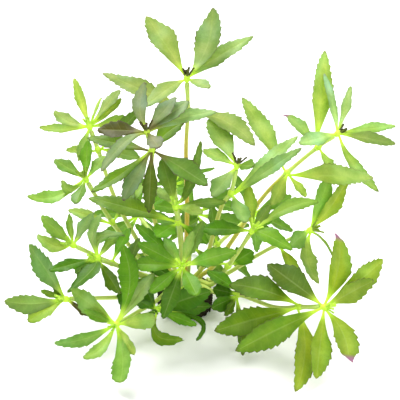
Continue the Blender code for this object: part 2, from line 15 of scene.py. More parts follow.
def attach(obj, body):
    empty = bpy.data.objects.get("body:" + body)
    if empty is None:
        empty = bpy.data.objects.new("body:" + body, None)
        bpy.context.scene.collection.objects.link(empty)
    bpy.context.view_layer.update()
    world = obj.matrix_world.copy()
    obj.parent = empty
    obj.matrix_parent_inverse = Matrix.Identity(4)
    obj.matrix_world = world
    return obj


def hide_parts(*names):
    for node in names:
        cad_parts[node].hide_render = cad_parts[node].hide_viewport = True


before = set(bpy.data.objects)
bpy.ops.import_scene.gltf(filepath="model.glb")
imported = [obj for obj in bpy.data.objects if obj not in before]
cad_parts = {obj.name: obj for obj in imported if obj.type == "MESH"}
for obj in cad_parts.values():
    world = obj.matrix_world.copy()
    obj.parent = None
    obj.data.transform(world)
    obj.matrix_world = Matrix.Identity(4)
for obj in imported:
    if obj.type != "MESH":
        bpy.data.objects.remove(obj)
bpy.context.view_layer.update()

MM = 0.001
UP = Vector((0.0, 0.0, 1.0))

# The front view that the shoots are laid out in. It looks down at the plant from the front,
# its places are counted across and down from its top left corner, and one unit is a real size.
VIEW_UNIT = 0.556 * MM
VIEW_MIDDLE = (200.0, 200.0)
VIEW_FOOT = (185.0, 308.0)
VIEW_TILT = math.radians(25.0)
VIEW_DISTANCE = 850.0 * MM

# The root ball
BALL_RADIUS = 15.0 * MM
BALL_HEIGHT = 14.0 * MM
BALL_TOP_RADIUS = 13.4 * MM

# Stems
STEM_RADIUS = 1.3 * MM
STEM_TIP_SHARE = 0.75
STEM_SPACING = 18.0 * MM
RINGS = {"inner": 3.2 * MM, "middle": 7.5 * MM, "outer": 11.6 * MM}
FOOT_RISE = 5.0 * MM
FOOT_LEAN = 0.3
GAP = 0.3 * MM

# Hubs and collars
HUB_RADIUS = 2.1 * MM
COLLAR_WALL = 1.2 * MM

# Leaves
BLADE_THICK = 0.9 * MM
STALK_WIDE = 1.3 * MM
STALK_THICK = 1.1 * MM
FOLD = 0.22
BOW = 0.02
BOW_FROM_STEM = 0.3
LONGER_THAN_SEEN = 1.05
WIDEST_SHARE = 0.4
FACING_AT_LEAST = 0.8
FLOOR_CLEAR = 0.1 * MM
ROOT_DEPTH = 0.6
ROOT_DEPTH_STEP = 0.04
ROOT_DEPTHS = 4
STATIONS_LONG = ((0.0, 0.0), (0.14, 0.12), (0.36, 0.78), (0.62, 1.05), (0.84, 0.66))
STATIONS_SHORT = ((0.0, 0.0), (0.3, 0.58), (0.6, 1.05), (0.83, 0.66))
STATIONS_TINY = ((0.0, 0.0), (0.45, 0.95), (0.8, 0.8))
SHORT_LEAF = 36.0 * MM
TINY_LEAF = 20.0 * MM

# Leaves of the shoots behind swing a little to and fro round an even fan.
SWING = 0.13
SWING_STEP = 2.4
SWING_BEARING = 60.0
SWING_RISE = 70.0

# A leaf that meets another is moved a step at a time until it is clear.
TEST_MARGIN = 0.45 * MM
TEST_SIDES = 6
TEST_HEIGHT = 0.8
OUTER_FROM = 2
SIDE_STEP = 3.0 * MM
RISE_STEP = 5.0
TRIES = 9
NEARLY_ZERO = 1e-6

# Directions of the front view
RIGHT = Vector((1.0, 0.0, 0.0))
TOWARD = Vector((0.0, -math.cos(VIEW_TILT), math.sin(VIEW_TILT)))
VIEW_UP = Vector((0.0, math.sin(VIEW_TILT), math.cos(VIEW_TILT)))
VIEW_CENTRE = (
    RIGHT * (VIEW_MIDDLE[0] - VIEW_FOOT[0]) * VIEW_UNIT
    + VIEW_UP * (VIEW_FOOT[1] - VIEW_MIDDLE[1]) * VIEW_UNIT
)
EYE = VIEW_CENTRE + TOWARD * VIEW_DISTANCE


def sight(across, down):
    """The direction from the eye through a place of the front view."""
    target = VIEW_CENTRE + RIGHT * (across - VIEW_MIDDLE[0]) * VIEW_UNIT
    target += VIEW_UP * (VIEW_MIDDLE[1] - down) * VIEW_UNIT
    return (target - EYE).normalized()


def seen(across, down, back):
    """The point seen at a place of the front view that lies back millimetres behind the foot."""
    ray = sight(across, down)
    return EYE + ray * ((back * MM - EYE.y) / ray.y)


def at(x, y, z):
    """A point given in millimetres."""
    return Vector((x, y, z)) * MM


def leaf(across, down, wide, long=0.0, away=None, via=None):
    """A leaf by where its tip is seen, with its seen width and true length in millimetres."""
    return {"tip": (across, down), "wide": wide * MM, "long": long * MM, "away": away, "via": via}


def fan(count, long, wide, rise, turn=0.0, droop=0.0):
    """Leaves spread evenly round a stem, rising at an angle from square to it."""
    leaves = []
    for index in range(count):
        swing = SWING * math.sin(SWING_STEP * index + turn)
        leaves.append({
            "bearing": turn + 360.0 * index / count + SWING_BEARING * swing,
            "rise": rise + SWING_RISE * swing,
            "long": long * (1.0 - abs(swing)) * MM,
            "wide": wide * (1.0 - abs(swing)) * MM,
            "droop": droop,
        })
    return leaves


def shoot(name, ring, bearing, route, tip, nodes=None):
    """One stem from its foot on the root ball, the leaves at its tip, and those at lower nodes."""
    angle = math.radians(bearing)
    out = Vector((math.cos(angle), math.sin(angle), 0.0))
    foot = out * RINGS[ring] + UP * (BALL_HEIGHT + GAP)
    rise = foot + UP * FOOT_RISE + out * FOOT_LEAN * FOOT_RISE
    return {"name": name, "route": [foot, rise] + route, "tip": tip, "nodes": nodes or {}}


# The shoots. The keys of nodes count the points of route, from 0.
SHOOTS = [
    shoot("tall", "inner", 90,
          [seen(187, 215, 7), seen(186, 150, 16), seen(188, 111, 22), seen(187, 83, 25)],
          [leaf(146, 16, 13.0), leaf(213, 7, 13.3, via=(207, 47)), leaf(254, 36, 9.5, via=(213, 60)),
           leaf(210, 88, 6.0, long=20, away=False), leaf(145, 107, 11.0, via=(168, 89))],
          {2: [leaf(102, 73, 9.5), leaf(255, 146, 10.0, via=(226, 122))]}),
    shoot("purple", "inner", 215,
          [seen(166, 262, -8), seen(151, 200, -10), seen(152, 151, -12), seen(148, 136, -13)],
          [leaf(145, 82, 7.6, via=(140, 108)), leaf(176, 97, 9.0), leaf(189, 101, 9.0),
           leaf(217, 112, 7.0, via=(183, 118)), leaf(97, 130, 8.5),
           leaf(159, 148, 8.0, long=16, away=False), leaf(101, 172, 6.0, via=(124, 143))],
          {2: [leaf(208, 186, 10.5), leaf(123, 201, 8.3), leaf(149, 213, 7.2),
               leaf(91, 192, 5.8, via=(120, 175)), leaf(87, 138, 7.5, away=True),
               leaf(183, 123, 10.5, via=(165, 135), away=True)]}),
    shoot("upper_left", "middle", 143,
          [seen(152, 262, 2), seen(118, 205, 18), seen(98, 150, 34), seen(91, 131, 39)],
          [leaf(74, 78, 5.6), leaf(120, 90, 5.6, via=(108, 104)),
           leaf(54, 111, 7.0, via=(69, 122)),
           leaf(39, 127, 4.5, via=(63, 129)), leaf(134, 120, 6.5, away=True), leaf(79, 161, 5.8),
           leaf(101, 98, 1.8, long=20), leaf(121, 98, 4.0, via=(109, 112))],
          {2: [leaf(66, 150, 4.5), leaf(140, 158, 8.0, away=True), leaf(142, 108, 6.4)]}),
    shoot("left", "middle", 164,
          [seen(150, 270, 2), seen(112, 222, 5), seen(88, 183, 8)],
          [leaf(88, 140, 7.5), leaf(54, 160, 8.5), leaf(106, 156, 7.0),
           leaf(27, 196, 7.0, via=(54, 197)),
           leaf(76, 204, 7.8, long=20), leaf(62, 180, 4.5, long=16, via=(71, 190))],
          {1: [leaf(68, 210, 5.6), leaf(134, 190, 7.0, away=True),
               leaf(146, 182, 6.0, away=True)]}),
    shoot("left_middle", "outer", 193,
          [seen(150, 277, -9), seen(112, 263, -12), seen(77, 247, -14)],
          [leaf(41, 216, 8.0), leaf(37, 235, 7.5, via=(55, 246)), leaf(69, 214, 4.5),
           leaf(93, 213, 6.2), leaf(52, 223, 5.0, long=24, away=True),
           leaf(84, 229, 3.2, long=13)],
          {1: [leaf(130, 228, 6.0, away=True)]}),
    shoot("low_left", "outer", 209,
          [seen(150, 293, -20), seen(121, 297, -28), seen(99, 298, -34), seen(70, 299, -40)],
          [leaf(4, 301, 9.5, via=(33, 304)), leaf(28, 322, 7.0), leaf(29, 244, 11.0),
           leaf(41, 291, 3.5, long=17), leaf(50, 281, 4.0, long=15, away=True),
           leaf(92, 316, 4.5)]),
    shoot("front_left", "outer", 239,
          [seen(156, 301, -34), seen(136, 313, -52), seen(119, 323, -65)],
          [leaf(71, 289, 10.5), leaf(54, 343, 6.8, via=(84, 339)),
           leaf(83, 358, 6.0, via=(101, 348)), leaf(120, 383, 11.5, via=(123, 358)),
           leaf(135, 354, 5.0, long=20), leaf(156, 319, 8.0), leaf(154, 273, 7.2),
           leaf(122, 244, 9.5, via=(130, 284)), leaf(84, 311, 5.0)]),
    shoot("inner_left", "middle", 218,
          [seen(158, 284, -18), seen(128, 270, -22), seen(101, 260, -25)],
          [leaf(124, 235, 5.2, via=(99, 238)), leaf(121, 294, 9.5),
           leaf(102, 214, 5.2, via=(93, 233)), leaf(76, 274, 7.5),
           leaf(67, 293, 8.0, via=(92, 270)), leaf(119, 234, 4.5), leaf(49, 271, 5.8)],
          {1: [leaf(139, 238, 7.0, away=True), leaf(133, 296, 7.0),
               leaf(150, 266, 7.0, away=True), leaf(148, 304, 7.5, long=24), leaf(124, 313, 7.0)]}),
    shoot("creeping", "outer", 258,
          [seen(172, 297, -28), seen(158, 308, -42)],
          [leaf(183, 339, 6.2, via=(157, 335)), leaf(196, 341, 2.8, via=(200, 320)),
           leaf(211, 291, 11.5, long=32, away=False), leaf(211, 306, 9.0, long=32),
           leaf(146, 288, 6.0, away=True), leaf(197, 325, 5.5),
           leaf(138, 300, 7.5, away=True)]),
    shoot("centre", "outer", 277,
          [seen(181, 285, -30), seen(182, 268, -50)],
          [leaf(134, 264, 7.2), leaf(150, 293, 6.2), leaf(197, 296, 8.0, long=24),
           leaf(237, 251, 8.5), leaf(193, 231, 5.0), leaf(203, 221, 7.0), leaf(164, 237, 5.6),
           leaf(135, 224, 6.2), leaf(137, 243, 7.5, away=False), leaf(163, 319, 8.5)],
          {0: [leaf(131, 284, 8.0), leaf(141, 257, 7.5, away=True)]}),
    shoot("middle", "middle", 262,
          [seen(182, 262, -17), seen(178, 222, -26), seen(176, 210, -28)],
          [leaf(162, 158, 9.5), leaf(201, 140, 5.6, via=(190, 186)), leaf(226, 202, 5.0),
           leaf(203, 213, 7.0), leaf(155, 187, 5.5, long=26)],
          {1: [leaf(88, 198, 9.5), leaf(156, 237, 11.0, long=24), leaf(208, 244, 7.0)]}),
    shoot("middle_right", "inner", 340,
          [seen(205, 262, -4), seen(221, 208, -8), seen(231, 193, -8), seen(236, 170, -7)],
          [leaf(208, 119, 13.0), leaf(203, 150, 8.0, away=True), leaf(254, 166, 8.0, long=18),
           leaf(212, 197, 10.5)],
          {2: [leaf(298, 136, 7.0), leaf(302, 148, 6.5, away=False), leaf(245, 223, 10.5, long=24)]}),
    shoot("right_centre", "middle", 334,
          [seen(213, 284, -16), seen(228, 266, -21), seen(239, 251, -24), seen(250, 234, -27)],
          [leaf(248, 183, 6.7), leaf(201, 229, 8.0), leaf(319, 202, 6.7, via=(288, 208)),
           leaf(270, 205, 5.6), leaf(273, 217, 4.5, long=17), leaf(293, 250, 10.5, via=(266, 235))],
          {1: [leaf(253, 251, 11.5, long=24), leaf(196, 262, 7.0, away=True)]}),
    shoot("right_middle", "outer", 350,
          [seen(216, 280, -4), seen(258, 255, -9), seen(279, 244, -11), seen(306, 232, -12)],
          [leaf(331, 172, 9.0), leaf(349, 176, 8.4, via=(331, 206)), leaf(290, 246, 9.5, long=20),
           leaf(319, 284, 8.5, via=(307, 258)), leaf(333, 256, 1.4, via=(323, 240))],
          {2: [leaf(298, 277, 7.0), leaf(262, 226, 6.0, away=True)]}),
    shoot("far_right", "middle", 12,
          [seen(217, 262, 3), seen(260, 201, 10), seen(287, 173, 13), seen(318, 147, 16),
           seen(334, 136, 18)],
          [leaf(324, 73, 4.5, via=(333, 108)), leaf(351, 86, 5.0), leaf(396, 126, 5.6),
           leaf(396, 144, 6.2), leaf(299, 144, 8.3, away=False),
           leaf(379, 192, 6.7, via=(354, 166))],
          {2: [leaf(242, 97, 10.5), leaf(374, 178, 10.0), leaf(271, 205, 8.3, long=23),
               leaf(306, 197, 4.5)],
           3: [leaf(325, 50, 11.5), leaf(286, 113, 6.7), leaf(333, 173, 6.7)]}),
    shoot("low_right", "outer", 312,
          [seen(217, 293, -24), seen(238, 294, -34), seen(274, 307, -47), seen(299, 307, -57),
           seen(320, 307, -63)],
          [leaf(338, 233, 12.8, via=(338, 268)), leaf(383, 259, 12.0, via=(359, 281)),
           leaf(374, 280, 12.0), leaf(348, 362, 12.5, via=(343, 334)), leaf(316, 379, 11.0),
           leaf(235, 351, 13.0), leaf(267, 264, 15.5)],
          {3: [leaf(295, 392, 12.0, via=(305, 350)), leaf(214, 331, 13.0),
               leaf(229, 285, 14.5, via=(262, 290))],
           1: [leaf(243, 356, 6.0), leaf(211, 308, 9.5), leaf(225, 316, 5.5),
               leaf(207, 271, 7.0), leaf(213, 289, 8.0, away=True)]}),
    shoot("back_left", "outer", 118,
          [at(-13, 24, 26), at(-26, 50, 32)],
          fan(7, 31, 8.5, 10, turn=15, droop=0.3),
          {0: fan(3, 30, 8.5, 5, turn=70, droop=0.4)}),
    shoot("back_middle", "outer", 82,
          [at(3, 28, 25), at(6, 62, 27)],
          fan(7, 33, 9.0, 10, turn=0, droop=0.3),
          {0: fan(3, 30, 9.0, 0, turn=30, droop=0.4)}),
    shoot("back_right", "outer", 48,
          [at(18, 24, 27), at(38, 50, 33)],
          fan(7, 31, 8.5, 10, turn=40, droop=0.3),
          {0: fan(3, 30, 8.5, 5, turn=10, droop=0.4)}),
    shoot("back_tall", "middle", 98,
          [at(-2, 16, 36), at(-6, 32, 58)],
          fan(6, 29, 8.0, 15, turn=20, droop=0.3)),
]


def spline(points, spacing):
    """A smooth line through the points, as samples about a spacing apart."""
    first = points[0] * 2.0 - points[1]
    last = points[-1] * 2.0 - points[-2]
    guides = [first] + points + [last]
    samples = [points[0].copy()]
    for index in range(1, len(guides) - 2):
        before, start, end, after = guides[index - 1:index + 3]
        steps = max(1, round((end - start).length / spacing))
        for step in range(1, steps + 1):
            share = step / steps
            pull_in = (end - before) * 0.5
            pull_out = (after - start) * 0.5
            samples.append(
                start * (2 * share**3 - 3 * share**2 + 1)
                + pull_in * (share**3 - 2 * share**2 + share)
                + end * (3 * share**2 - 2 * share**3)
                + pull_out * (share**3 - share**2)
            )
    return samples


def axis_at(points, index):
    """The direction of a stem at one of its route's points."""
    before = points[max(index - 1, 0)]
    after = points[min(index + 1, len(points) - 1)]
    return (after - before).normalized()


def radius_at(share):
    """A stem's radius at a share of its length."""
    return STEM_RADIUS * (1.0 - (1.0 - STEM_TIP_SHARE) * share)


def across_from(direction, axis):
    """The part of a direction that is square to an axis, at unit length."""
    square = direction - axis * direction.dot(axis)
    if square.length < NEARLY_ZERO:
        square = axis.orthogonal()
    return square.normalized()


def midrib(base, tip, axis, plan):
    """The three points that a leaf's midrib bends through."""
    chord = tip - base
    if plan.get("via"):
        ray = sight(*plan["via"])
        middle = (base + tip) * 0.5
        seen_point = EYE + ray * ((middle - EYE).dot(TOWARD) / ray.dot(TOWARD))
        return base, seen_point * 2.0 - middle, tip
    direction = chord.normalized()
    lift = UP - direction * UP.dot(direction)
    lift += across_from(axis, direction) * BOW_FROM_STEM
    return base, base + chord * 0.5 + lift * chord.length * BOW, tip


def bend(points, share):
    """The place and direction at a share of a midrib."""
    base, control, tip = points
    rest = 1.0 - share
    place = base * rest**2 + control * 2.0 * rest * share + tip * share**2
    direction = (control - base) * rest + (tip - control) * share
    return place, direction.normalized()


def facing(direction, axis, plan):
    """The upper side's direction, and the leaf's true width, so that it is seen as wide as told."""
    natural = across_from(axis, direction)
    wide = plan["wide"]
    if "tip" not in plan:
        return natural, wide
    best = across_from(TOWARD, direction)
    if natural.dot(best) < 0.0:
        best = -best
    angle = math.acos(min(1.0, natural.dot(best)))
    limit = math.acos(FACING_AT_LEAST)
    if angle > limit:
        natural = natural.slerp(best, (angle - limit) / angle)
        angle = limit
    return natural, wide / math.cos(angle)


def blade(base, tip, axis, plan, grow=0.0, start=0):
    """The points and faces of one leaf: lens sections along the midrib, closed by its tip."""
    points = midrib(base, tip, axis, plan)
    length = (tip - base).length
    upper, wide = facing((tip - base).normalized(), axis, plan)
    wide = min(wide, max(plan["wide"], WIDEST_SHARE * length))
    grooved = length > SHORT_LEAF
    stations = STATIONS_LONG if grooved else STATIONS_SHORT
    if length < TINY_LEAF:
        stations = STATIONS_TINY
    stations = stations[min(start, len(stations) - 2):]
    corners = []
    for share, spread in stations:
        place, direction = bend(points, share)
        normal = across_from(upper, direction)
        side = direction.cross(normal)
        half = STALK_WIDE * 0.5 * (1.0 - spread) + wide * 0.5 * spread + grow
        thick = STALK_THICK * 0.5 * (1.0 - spread) + BLADE_THICK * 0.5 * spread + grow
        edge = normal * half * FOLD * spread
        ring = [place + side * half + edge, place - normal * thick, place - side * half + edge]
        if grooved:
            ring.append(place + normal * thick)
        sunk = min(corner.z for corner in ring) - FLOOR_CLEAR - grow
        if sunk < 0.0 and not grow:
            ring = [corner - UP * sunk for corner in ring]
        corners.extend(ring)
    end = tip + (tip - points[1]).normalized() * grow
    end.z = max(end.z, FLOOR_CLEAR + BLADE_THICK * 0.5)
    corners.append(end)
    around = len(ring)
    count = len(stations)
    faces = [tuple(range(around - 1, -1, -1))]
    for row in range(count - 1):
        for corner in range(around):
            near = row * around + corner
            next_near = row * around + (corner + 1) % around
            faces.append((near, next_near, next_near + around, near + around))
    last = (count - 1) * around
    for corner in range(around):
        faces.append((last + corner, last + (corner + 1) % around, len(corners) - 1))
    return corners, faces


def tip_choices(base, axis, plan):
    """The places that a leaf's tip may take, best first, all seen at the same place."""
    order = [0]
    for step in range(1, TRIES):
        order += [step, -step]
    if "tip" not in plan:
        swing = Matrix.Rotation(math.radians(plan["bearing"]), 3, axis)
        out = swing @ across_from(RIGHT, axis)
        for step in order:
            rise = math.radians(plan["rise"] + RISE_STEP * step)
            direction = out * math.cos(rise) + axis * math.sin(rise)
            direction = (direction - UP * plan["droop"]).normalized()
            end = base + direction * plan["long"]
            end.z = max(end.z, FLOOR_CLEAR + BLADE_THICK * 0.5)
            yield end
        return
    ray = sight(*plan["tip"])
    closest = EYE + ray * (base - EYE).dot(ray)
    seen_length = (closest - base).length
    long = max(plan["long"], seen_length * LONGER_THAN_SEEN)
    slack = math.sqrt(long**2 - seen_length**2)
    away = plan["away"]
    if away is None:
        away = (closest - base).dot(VIEW_UP) > 0.0
    for step in order:
        end = closest + ray * ((slack if away else -slack) + step * SIDE_STEP)
        low = FLOOR_CLEAR + BLADE_THICK * 0.5
        if end.z < low:
            end += ray * ((low - end.z) / ray.z)
        yield end


def tube(samples, grow):
    """A plain tube round a stem's line, used to keep leaves clear of the stem."""
    corners = []
    faces = []
    for index, sample in enumerate(samples):
        axis = axis_at(samples, index)
        across = across_from(RIGHT, axis)
        other = axis.cross(across)
        for side in range(TEST_SIDES):
            angle = math.tau * side / TEST_SIDES
            spoke = across * math.cos(angle) + other * math.sin(angle)
            corners.append(sample + spoke * (STEM_RADIUS + grow))
    for index in range(len(samples) - 1):
        for side in range(TEST_SIDES):
            near = index * TEST_SIDES + side
            after = index * TEST_SIDES + (side + 1) % TEST_SIDES
            faces.append((near, after, after + TEST_SIDES, near + TEST_SIDES))
    return corners, faces


def tree_of(shapes):
    """One search tree over several shapes, or None over none."""
    corners = []
    faces = []
    for shape_corners, shape_faces in shapes:
        shift = len(corners)
        corners.extend(shape_corners)
        faces.extend(tuple(index + shift for index in face) for face in shape_faces)
    return BVHTree.FromPolygons(corners, faces) if faces else None


def crosses(shape, tree):
    """Whether a shape meets what a search tree holds."""
    return tree is not None and bool(BVHTree.FromPolygons(*shape).overlap(tree))


def block(centre, axis):
    """A short six-sided block round a hub or collar, used to keep the leaves of others clear."""
    half = axis * TEST_HEIGHT * (HUB_RADIUS + COLLAR_WALL)
    across = axis.orthogonal().normalized()
    other = axis.cross(across)
    corners = []
    for lift in (-half, half):
        for side in range(TEST_SIDES):
            angle = math.tau * side / TEST_SIDES
            spoke = across * math.cos(angle) + other * math.sin(angle)
            corners.append(centre + lift + spoke * (HUB_RADIUS + COLLAR_WALL))
    faces = [tuple(range(TEST_SIDES - 1, -1, -1)), tuple(range(TEST_SIDES, 2 * TEST_SIDES))]
    for side in range(TEST_SIDES):
        after = (side + 1) % TEST_SIDES
        faces.append((side, after, after + TEST_SIDES, side + TEST_SIDES))
    return corners, faces


def whorl_of(plan, part, stem, centre, axis, leaves, radius=0.0):
    """A whorl whose leaves are still to be placed; a growing tip has no radius."""
    return {"name": plan["name"] + part, "stem": stem, "centre": centre, "axis": axis,
            "plans": leaves, "radius": radius, "leaves": []}


def list_pieces():
    """Every stem, and every whorl with nothing placed on it yet."""
    stems = []
    whorls = []
    for number, plan in enumerate(SHOOTS):
        route = plan["route"]
        samples = spline(route, STEM_SPACING)
        stems.append({"name": plan["name"], "samples": samples})
        axis = (samples[-1] - samples[-2]).normalized()
        centre = samples[-1] + axis * (GAP + HUB_RADIUS)
        whorls.append(whorl_of(plan, "_tip_leaves", number, centre, axis, plan["tip"]))
        for rank, (index, leaves) in enumerate(sorted(plan["nodes"].items(), reverse=True)):
            part = ("_lower_leaves", "_base_leaves")[rank]
            point = index + 2
            radius = radius_at(point / (len(route) - 1))
            axis = axis_at(route, point)
            whorls.append(whorl_of(plan, part, number, route[point], axis, leaves, radius))
    return stems, whorls


def root_of(whorl, end):
    """Where a leaf starts, inside the hub or the collar that it grows from."""
    if whorl["radius"]:
        out = across_from(end - whorl["centre"], whorl["axis"])
        return whorl["centre"] + out * (whorl["radius"] + GAP + COLLAR_WALL * 0.5)
    depth = ROOT_DEPTH + ROOT_DEPTH_STEP * (len(whorl["leaves"]) % ROOT_DEPTHS)
    return whorl["centre"] + (end - whorl["centre"]).normalized() * HUB_RADIUS * depth


def place(whorl, plan, strangers, bare_stem, mates):
    """The base and tip of a leaf that is clear of all that is there, or None."""
    axis = whorl["axis"]
    for end in tip_choices(whorl["centre"], axis, plan):
        base = root_of(whorl, end)
        if crosses(blade(base, end, axis, plan, TEST_MARGIN), strangers):
            continue
        if crosses(blade(base, end, axis, plan), bare_stem):
            continue
        if crosses(blade(base, end, axis, plan, TEST_MARGIN, OUTER_FROM), mates):
            continue
        return base, end
    return None


def lay_out():
    """Every stem and every whorl of leaves, with each leaf placed clear of the others."""
    stems, whorls = list_pieces()
    stem_shapes = [tube(stem["samples"], TEST_MARGIN) for stem in stems]
    blocks = [block(whorl["centre"], whorl["axis"]) for whorl in whorls]
    placed = []
    for number, whorl in enumerate(whorls):
        own = whorl["stem"]
        others = [shape for index, shape in enumerate(stem_shapes) if index != own]
        others += [shape for index, shape in enumerate(blocks) if index != number]
        strangers = tree_of(others + placed)
        bare_stem = tree_of([tube(stems[own]["samples"], GAP * 0.5)])
        mates = [stem_shapes[own]]
        for plan in whorl["plans"]:
            found = place(whorl, plan, strangers, bare_stem, tree_of(mates))
            if found is None:
                continue
            base, end = found
            whorl["leaves"].append({"base": base, "tip": end, "plan": plan})
            placed.append(blade(base, end, whorl["axis"], plan))
            mates.append(blade(base, end, whorl["axis"], plan, TEST_MARGIN, OUTER_FROM))
    return stems, whorls


# Colours of leaves, as light returned in red, green and blue
TINTS = {
    "young": (0.74, 0.90, 0.16),
    "lemon": (0.52, 0.63, 0.15),
    "bright": (0.48, 0.60, 0.15),
    "pale": (0.38, 0.48, 0.15),
    "lime": (0.39, 0.53, 0.12),
    "fresh": (0.33, 0.51, 0.095),
    "sage": (0.39, 0.54, 0.18),
    "grey": (0.34, 0.43, 0.21),
    "mauve": (0.31, 0.33, 0.18),
    "taupe": (0.37, 0.42, 0.22),
    "slate": (0.25, 0.32, 0.14),
    "silver": (0.46, 0.63, 0.28),
    "milk": (0.54, 0.68, 0.33),
    "mint": (0.23, 0.41, 0.09),
    "mid": (0.235, 0.44, 0.033),
    "grass": (0.165, 0.37, 0.013),
    "moss": (0.22, 0.36, 0.05),
    # deep: a dark green of its own, also darkened as painted shade for the low and inner leaves that lie
    # in shadow
    "deep": (0.09, 0.23, 0.005),
    "olive": (0.38, 0.48, 0.044),
    "dark_olive": (0.19, 0.32, 0.014),
    "shade": (0.14, 0.225, 0.02),
    # shade: a dark olive that is painted shade on leaves darker than their lighting gives
    "bronze": (0.10, 0.095, 0.004),
}
PALE_RIB = (0.62, 0.74, 0.28)
STALK_GREEN = (0.66, 0.86, 0.10)
# Painted sheen: bluish highlight patches multiplied into the leaf colour where a noise runs high
PAINTED_SHEEN = (1.12, 1.18, 1.9)
PURPLE_BROWN = (0.10, 0.035, 0.04)
WITHERED = (0.42, 0.20, 0.36)
STEM_GREEN = (0.50, 0.66, 0.13)
STEM_OCHRE = (0.60, 0.46, 0.045)
# Painted shade: the roots' dark brown is darkened towards black, for the shade among the stems above the
# ball
ROOT_DARK_AND_SHADE = (0.018, 0.016, 0.008)
ROOT_BROWN_AND_SHADE = (0.034, 0.030, 0.013)

# The tint of each shoot's leaves, how purple their margins are, and the tint of its bud
SHOOT_LOOKS = {
    "tall": ("pale", 0.4, "bronze"),
    "purple": ("grey", 0.9, "bronze"),
    "upper_left": ("lemon", 0.25, "young"),
    "left": ("lime", 0.3, "olive"),
    "left_middle": ("fresh", 0.15, "young"),
    "low_left": ("fresh", 0.3, "young"),
    "front_left": ("fresh", 0.3, "young"),
    "inner_left": ("mid", 0.15, "young"),
    "creeping": ("deep", 0.1, "mid"),
    "centre": ("mid", 0.1, "young"),
    "middle": ("moss", 0.3, "young"),
    "middle_right": ("sage", 0.4, "bronze"),
    "right_centre": ("mid", 0.15, "young"),
    "right_middle": ("fresh", 0.35, "olive"),
    "far_right": ("bright", 0.4, "bronze"),
    "low_right": ("olive", 0.5, "young"),
    "back_left": ("mid", 0.1, "young"),
    "back_middle": ("mid", 0.1, "young"),
    "back_right": ("mid", 0.1, "young"),
    "back_tall": ("mid", 0.1, "young"),
}

# How ochre a stem is, where it isn't only faintly so
OCHRE = {"tall": 1.0, "far_right": 0.65, "purple": 0.4, "middle_right": 0.4}
FAINT_OCHRE = 0.15

# Leaves whose tint is not their shoot's, by the place of the tip in the front view
# Some of these tints carry painted light: the deep and shade tints darken low and inner leaves as painted
# shade, and lemon lightens the shaded leaf at (134, 120) as painted light.
LEAF_TINTS = {
    "milk": [(324, 73), (351, 86)],
    "silver": [(217, 112), (93, 213), (299, 144)],
    "taupe": [(145, 82)],
    "mauve": [(159, 148), (84, 229)],
    "grey": [(123, 201), (189, 101)],
    "slate": [(176, 97)],
    "bronze": [(97, 130), (92, 316)],
    "moss": [(208, 186), (201, 140), (134, 190), (203, 221), (4, 301), (54, 160), (254, 166),
             (270, 205)],
    "lime": [(79, 161), (156, 319), (155, 187), (146, 182), (140, 158), (62, 180), (37, 235),
             (333, 256), (83, 358), (119, 234), (379, 192), (396, 126)],
    "fresh": [(27, 196), (319, 202), (193, 231), (164, 237), (41, 216)],
    "mint": [(76, 204), (29, 244), (54, 343), (76, 274)],
    "mid": [(196, 262), (88, 140), (84, 311), (133, 296)],
    "grass": [(135, 224), (208, 244), (201, 229), (253, 251), (137, 243), (130, 228),
              (207, 271), (156, 237), (150, 293), (197, 296), (122, 244), (150, 266), (197, 325)],
    "deep": [(49, 271), (141, 257), (163, 319), (148, 304), (124, 313), (213, 289), (67, 293), (211, 308)],
    "lemon": [(134, 120), (271, 205), (306, 197)],
    "bright": [(135, 354), (203, 150), (68, 210), (203, 213), (319, 284)],
    "pale": [(396, 144), (120, 90), (54, 111)],
    "sage": [(302, 148), (298, 136), (286, 113), (124, 235), (102, 214), (245, 223), (154, 273)],
    "olive": [(349, 176), (298, 277), (28, 322), (248, 183)],
    "dark_olive": [(235, 351), (214, 331), (243, 356), (91, 192), (225, 316), (183, 123),
                   (41, 291), (50, 281), (183, 339), (88, 198), (121, 294), (229, 285),
                   (262, 226), (87, 138), (142, 108)],
    "shade": [(267, 264), (149, 213), (139, 238)],
}
TINT_OF = {tip: key for key, tips in LEAF_TINTS.items() for tip in tips}

# Leaves whose tip is withered and curled
WITHERED_TIPS = ((286, 113), (338, 233), (348, 362))

# Leaves that end bluntly
BLUNT_TIPS = ((197, 296), (150, 293), (134, 264), (76, 274), (106, 156), (159, 148), (28, 322),
              (348, 362), (135, 354), (76, 204))

# Leaves that end as if they were cut off, and leaves that run out to a long point
SQUARE_TIPS = ((120, 383), (156, 319))
LONG_TIPS = ((54, 343), (102, 73), (67, 293))

# Fine shape of a leaf
COLUMNS = (0.0, 0.06, 0.17, 0.4, 0.66, 0.9)
WIDEST_AT = 0.6
STALK_END = 0.03
STALK_POWER = 1.6
WIDEST_SWING = 0.05
TIP_POWER = 1.5
BLUNT_POWER = 3.0
SQUARE_POWER = 8.0
LONG_POWER = 1.15
CURL_FROM = 0.86
CURL = 3.0 * MM
STALK_ROWS = (0.0, 0.05, 0.1, 0.15, 0.2, 0.25, 0.3)
TEETH_START = 0.35
TEETH_END = 0.94
LAST_ROW = 0.975
TOOTH_PITCH = 3.6 * MM
TEETH_MOST = 12
TOOTH_DEEP = 1.1 * MM
TOOTH_SHARE = 0.17
LEAF_THICK = 0.34 * MM
RIB_DEEP = 0.3 * MM
GROOVE = 0.14 * MM
QUILT = 0.12 * MM
WAVE = 0.45 * MM
TWIST = math.radians(9.0)

# Stems and growing tips
STEM_STEP = 2.2 * MM
STEM_SIDES = 12
NODE_SWELL = 0.35
NODE_REACH = 3.0 * MM
KNOB_RADIUS = 1.75 * MM
BUD_LEAVES = 7
BUD_LONG = 6.5 * MM
BUD_WIDE = 1.7 * MM

# Roots
ROOT_STRANDS = 110
STRAND_RADIUS = 0.33 * MM
STRAND_STEPS = 16


